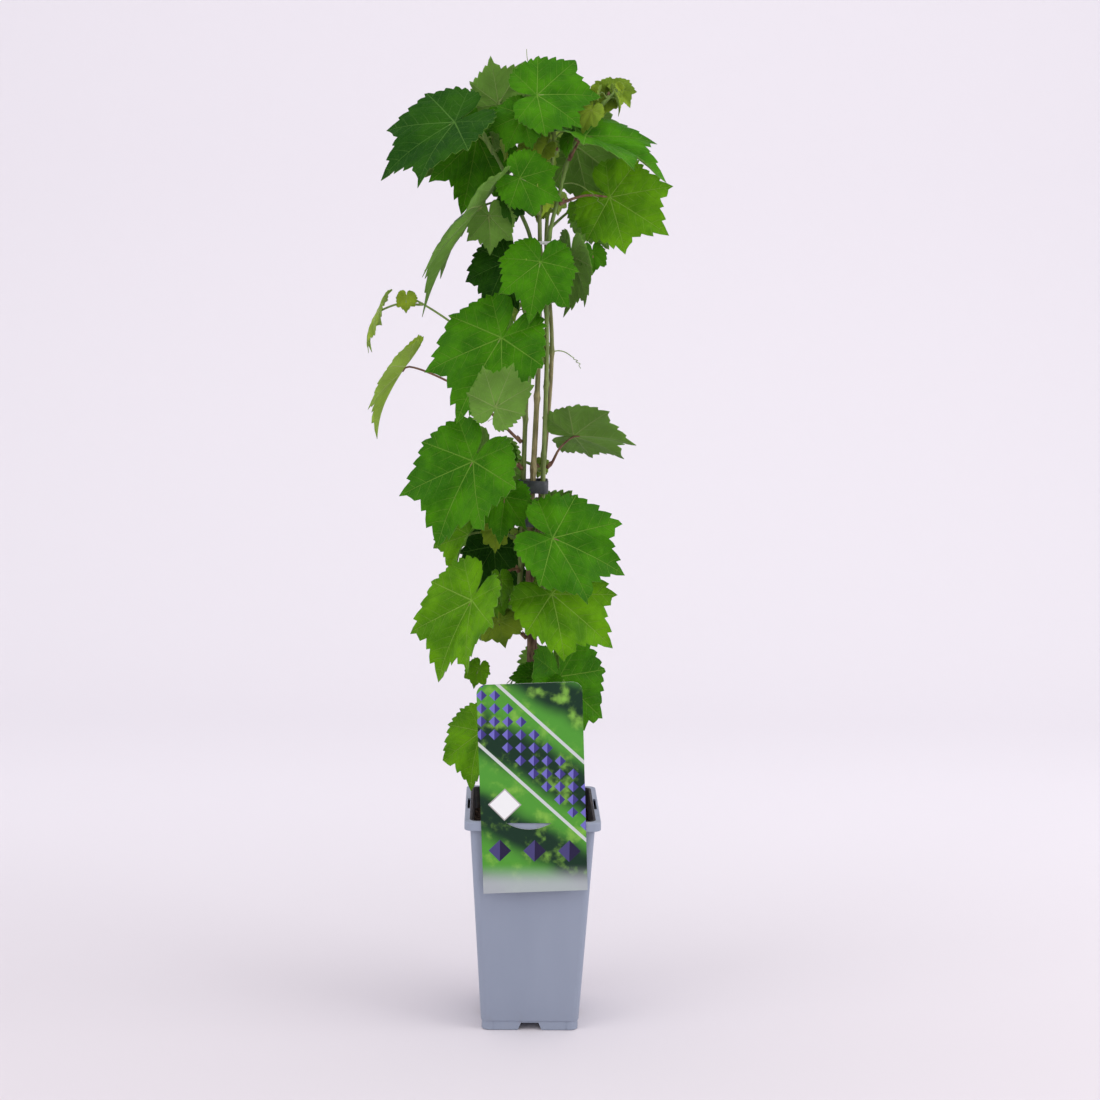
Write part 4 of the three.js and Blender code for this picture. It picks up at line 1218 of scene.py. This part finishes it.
card = baked_copy("label-card", show(bpy.data.objects.new("card-shape", sheet)))
card.data.transform(Matrix.Rotation(math.pi / 2, 4, "X"))
card.data.transform(Matrix.Translation((0, (card_front + CARD / 2) * MM, 0)))

inside = -inner(hinge - 2 * TONGUE_DROP) + 0.8
path = [(card_front + 0.5, hinge + 0.25), (card_front + 1.8, hinge + 0.5), (-62, hinge + 0.55),
        (inside - 1.6, hinge + 0.5), (inside - 0.3, hinge + 0.1), (inside + 0.1, hinge - 1.5),
        (inside, hinge - 6), (inside - 0.1, hinge - 11.5)]
route = Route([(0, y, z) for y, z in path])
shares = np.linspace(0, 1, 40)
line = route.at(shares)
along = np.gradient(line, axis=0)
along /= np.linalg.norm(along, axis=1, keepdims=True)
normal = np.cross(vec(1, 0, 0), along)
half_width = np.interp(shares, [0, 0.55, 0.8, 1], [21, 20.5, 18, 15])
corners = [line + np.outer(side * half_width + TONGUE_X, vec(1, 0, 0))
           + normal * face * TONGUE_HALF_THICK
           for side, face in ((-1, 1), (1, 1), (1, -1), (-1, -1))]
strip = Heap()
strip.add(np.stack(corners, 1).reshape(-1, 3), skin(len(line), len(corners)))

# %% Print on the card
printed, t = finish("label print", Roughness=0.42, Specular_IOR_Level=0.22)
place = t.place()
x, y, z = t.split(place)
height = t.math("DIVIDE", t.minus(z, (CARD_Z - TALL / 2) * MM), TALL * MM)
sway = t.scaled(t.noise(place, 14.0, 3), 0.9, t.times(x, 14.0))
bands = t.math("SINE", t.times(t.plus(sway, t.times(z, 26.0)), 3.1))
base = t.mix(t.ramp(bands, -0.7, 0.9), (0.004, 0.028, 0.012), (0.075, 0.30, 0.03))
base = t.mix(t.ramp(t.noise(place, 46.0, 5), 0.5, 0.72), base, (0.22, 0.47, 0.06))
RIBBON_SLOPE, RIBBON_MIDDLE, RIBBON_HALF, LINE_AWAY = 0.9, 0.280, 0.0255, 0.0365


def along_ribbon(across, upward):
    """How far a place lies above the middle line of the slanting ribbon."""
    return t.scaled(across, RIBBON_SLOPE, t.minus(upward, RIBBON_MIDDLE))


def lozenge(cx, cz, half):
    """One lozenge on the card, and which of its two halves a place lies in."""
    across = t.minus(x, cx * MM)
    upward = t.size(t.minus(z, cz * MM))
    away = t.plus(t.size(across), upward)
    inside = t.fall(away, (half - 0.4) * MM, half * MM)
    return inside, t.math("LESS_THAN", across, 0.0)


on_card = t.add("ShaderNodeCombineXYZ", {0: x, 1: z}).outputs[0]
cells = t.add("ShaderNodeTexVoronoi", {"Vector": on_card, "Scale": 80.0, "Randomness": 0.0},
              voronoi_dimensions="2D", distance="MANHATTAN").outputs
middle = t.split(cells["Position"])
small = t.fall(cells["Distance"], 0.40, 0.44)
off_line = t.size(along_ribbon(middle["X"], middle["Y"]))
in_ribbon = t.times(small, t.math("LESS_THAN", off_line, RIBBON_HALF))
left_half = t.math("LESS_THAN", x, middle["X"])
base = t.mix(in_ribbon, base, t.mix(left_half, (0.045, 0.035, 0.20), (0.16, 0.145, 0.50)))
off_edge = t.size(t.minus(t.size(along_ribbon(x, z)), LINE_AWAY))
base = t.mix(t.fall(off_edge, 0.0018, 0.0022), base, (0.56, 0.60, 0.58))
for half, colour in ((16, (0.42, 0.40, 0.39)), (14.4, (0.83, 0.84, 0.83))):
    pale, _ = lozenge(-27, 232, half)
    base = t.mix(pale, base, colour)
for cx in (-31, 2, 35):
    dark, left_half = lozenge(cx, 187, 11)
    base = t.mix(dark, base, t.mix(left_half, (0.015, 0.01, 0.045), (0.06, 0.052, 0.17)))
foot = t.fall(height, 0.03, 0.14)
base = t.mix(t.times(foot, 0.9), base, (0.42, 0.45, 0.47))
front = t.math("LESS_THAN", y, (card_front + 0.3) * MM)
base = t.mix(front, (0.78, 0.78, 0.77), base)
t.paint(base)
card.data.materials.clear()
card.data.materials.append(printed)
put(card, "label_card", ["label"])
piece_from("label-tongue", strip, [printed], "label_card", smooth=False)

# %% [markdown]
# ## Studio
#
# The floor is a plain pale sweep that rises behind the plant. Soft light comes from large
# panels overhead and at both sides, over a bright even surround, so shadows stay faint.

# %% Floor, lights and camera
SURROUND, SURROUND_POWER = (0.955, 0.925, 0.985), 0.93
FLOOR_FRONT, FLOOR_BACK, FLOOR_SIDE, CURVE_RADIUS, WALL_HEIGHT = -2.5, 1.2, 7, 0.9, 4.0
sweep = [(FLOOR_FRONT, 0), (FLOOR_BACK, 0)]
sweep += [(FLOOR_BACK + CURVE_RADIUS * math.sin(a), CURVE_RADIUS - CURVE_RADIUS * math.cos(a))
          for a in np.linspace(0.1, math.pi / 2, 14)]
sweep.append((FLOOR_BACK + CURVE_RADIUS, WALL_HEIGHT))
backdrop = bpy.data.meshes.new("studio-floor")
backdrop.from_pydata([(x, y, z - 0.0004) for y, z in sweep for x in (-FLOOR_SIDE, FLOOR_SIDE)],
                     [], [(2 * i, 2 * i + 1, 2 * i + 3, 2 * i + 2) for i in range(len(sweep) - 1)])
paper, t = finish("studio paper", Roughness=0.9, Specular_IOR_Level=0.1)
x, y, _ = t.split(t.place())
paper_tone = t.mix(t.ramp(y, -0.2, 0.9), (0.68, 0.645, 0.67), (0.80, 0.775, 0.805))
far_off = t.math("MAXIMUM", t.size(x), t.times(y, -1.0))
paper_tone = t.mix(t.ramp(far_off, 1.2, 3.0), paper_tone, (0.95, 0.925, 0.96))
t.paint(paper_tone)
dress(backdrop, [paper])
show(bpy.data.objects.new("studio-floor", backdrop))

world = bpy.data.worlds.new("studio")
bpy.context.scene.world = world
world.use_nodes = True
glow = world.node_tree.nodes["Background"].inputs
glow["Color"].default_value, glow["Strength"].default_value = (*SURROUND, 1), SURROUND_POWER


def panel(name, place, size, power):
    """A square area light that faces the middle of the plant."""
    light = bpy.data.lights.new(name, "AREA")
    light.shape, light.size, light.energy = "SQUARE", size, power
    made = bpy.data.objects.new(name, light)
    made.matrix_world = Matrix.Translation(place) @ (
        (Vector(PLANT_MIDDLE) - Vector(place)).to_track_quat("-Z", "Y").to_matrix().to_4x4())
    show(made)


PLANT_MIDDLE = (0, 0, 0.5)
panel("overhead", (0.1, -0.5, 2.4), 1.8, 8)
panel("right", (1.8, -0.6, 1.3), 1.4, 17)
panel("left", (-1.8, -1.2, 1.4), 1.4, 12)

EYE, FOCAL_LENGTH, SENSOR_WIDTH = (-0.035, -1.873, 0.760), 64.64, 36
yaw, tilt, roll = 0.0261, 0.1558, 0.0153
forward = vec(math.sin(yaw) * math.cos(tilt), math.cos(yaw) * math.cos(tilt), -math.sin(tilt))
level = vec(math.cos(yaw), -math.sin(yaw), 0)
upright = np.cross(level, forward)
right = level * math.cos(roll) + upright * math.sin(roll)
above = -level * math.sin(roll) + upright * math.cos(roll)
lens = bpy.data.cameras.new("camera")
lens.lens, lens.sensor_width = FOCAL_LENGTH, SENSOR_WIDTH
camera = show(bpy.data.objects.new("camera", lens))
turn = Matrix([right, above, -forward]).transposed().to_4x4()
camera.matrix_world = Matrix.Translation(EYE) @ turn
bpy.context.scene.camera = camera
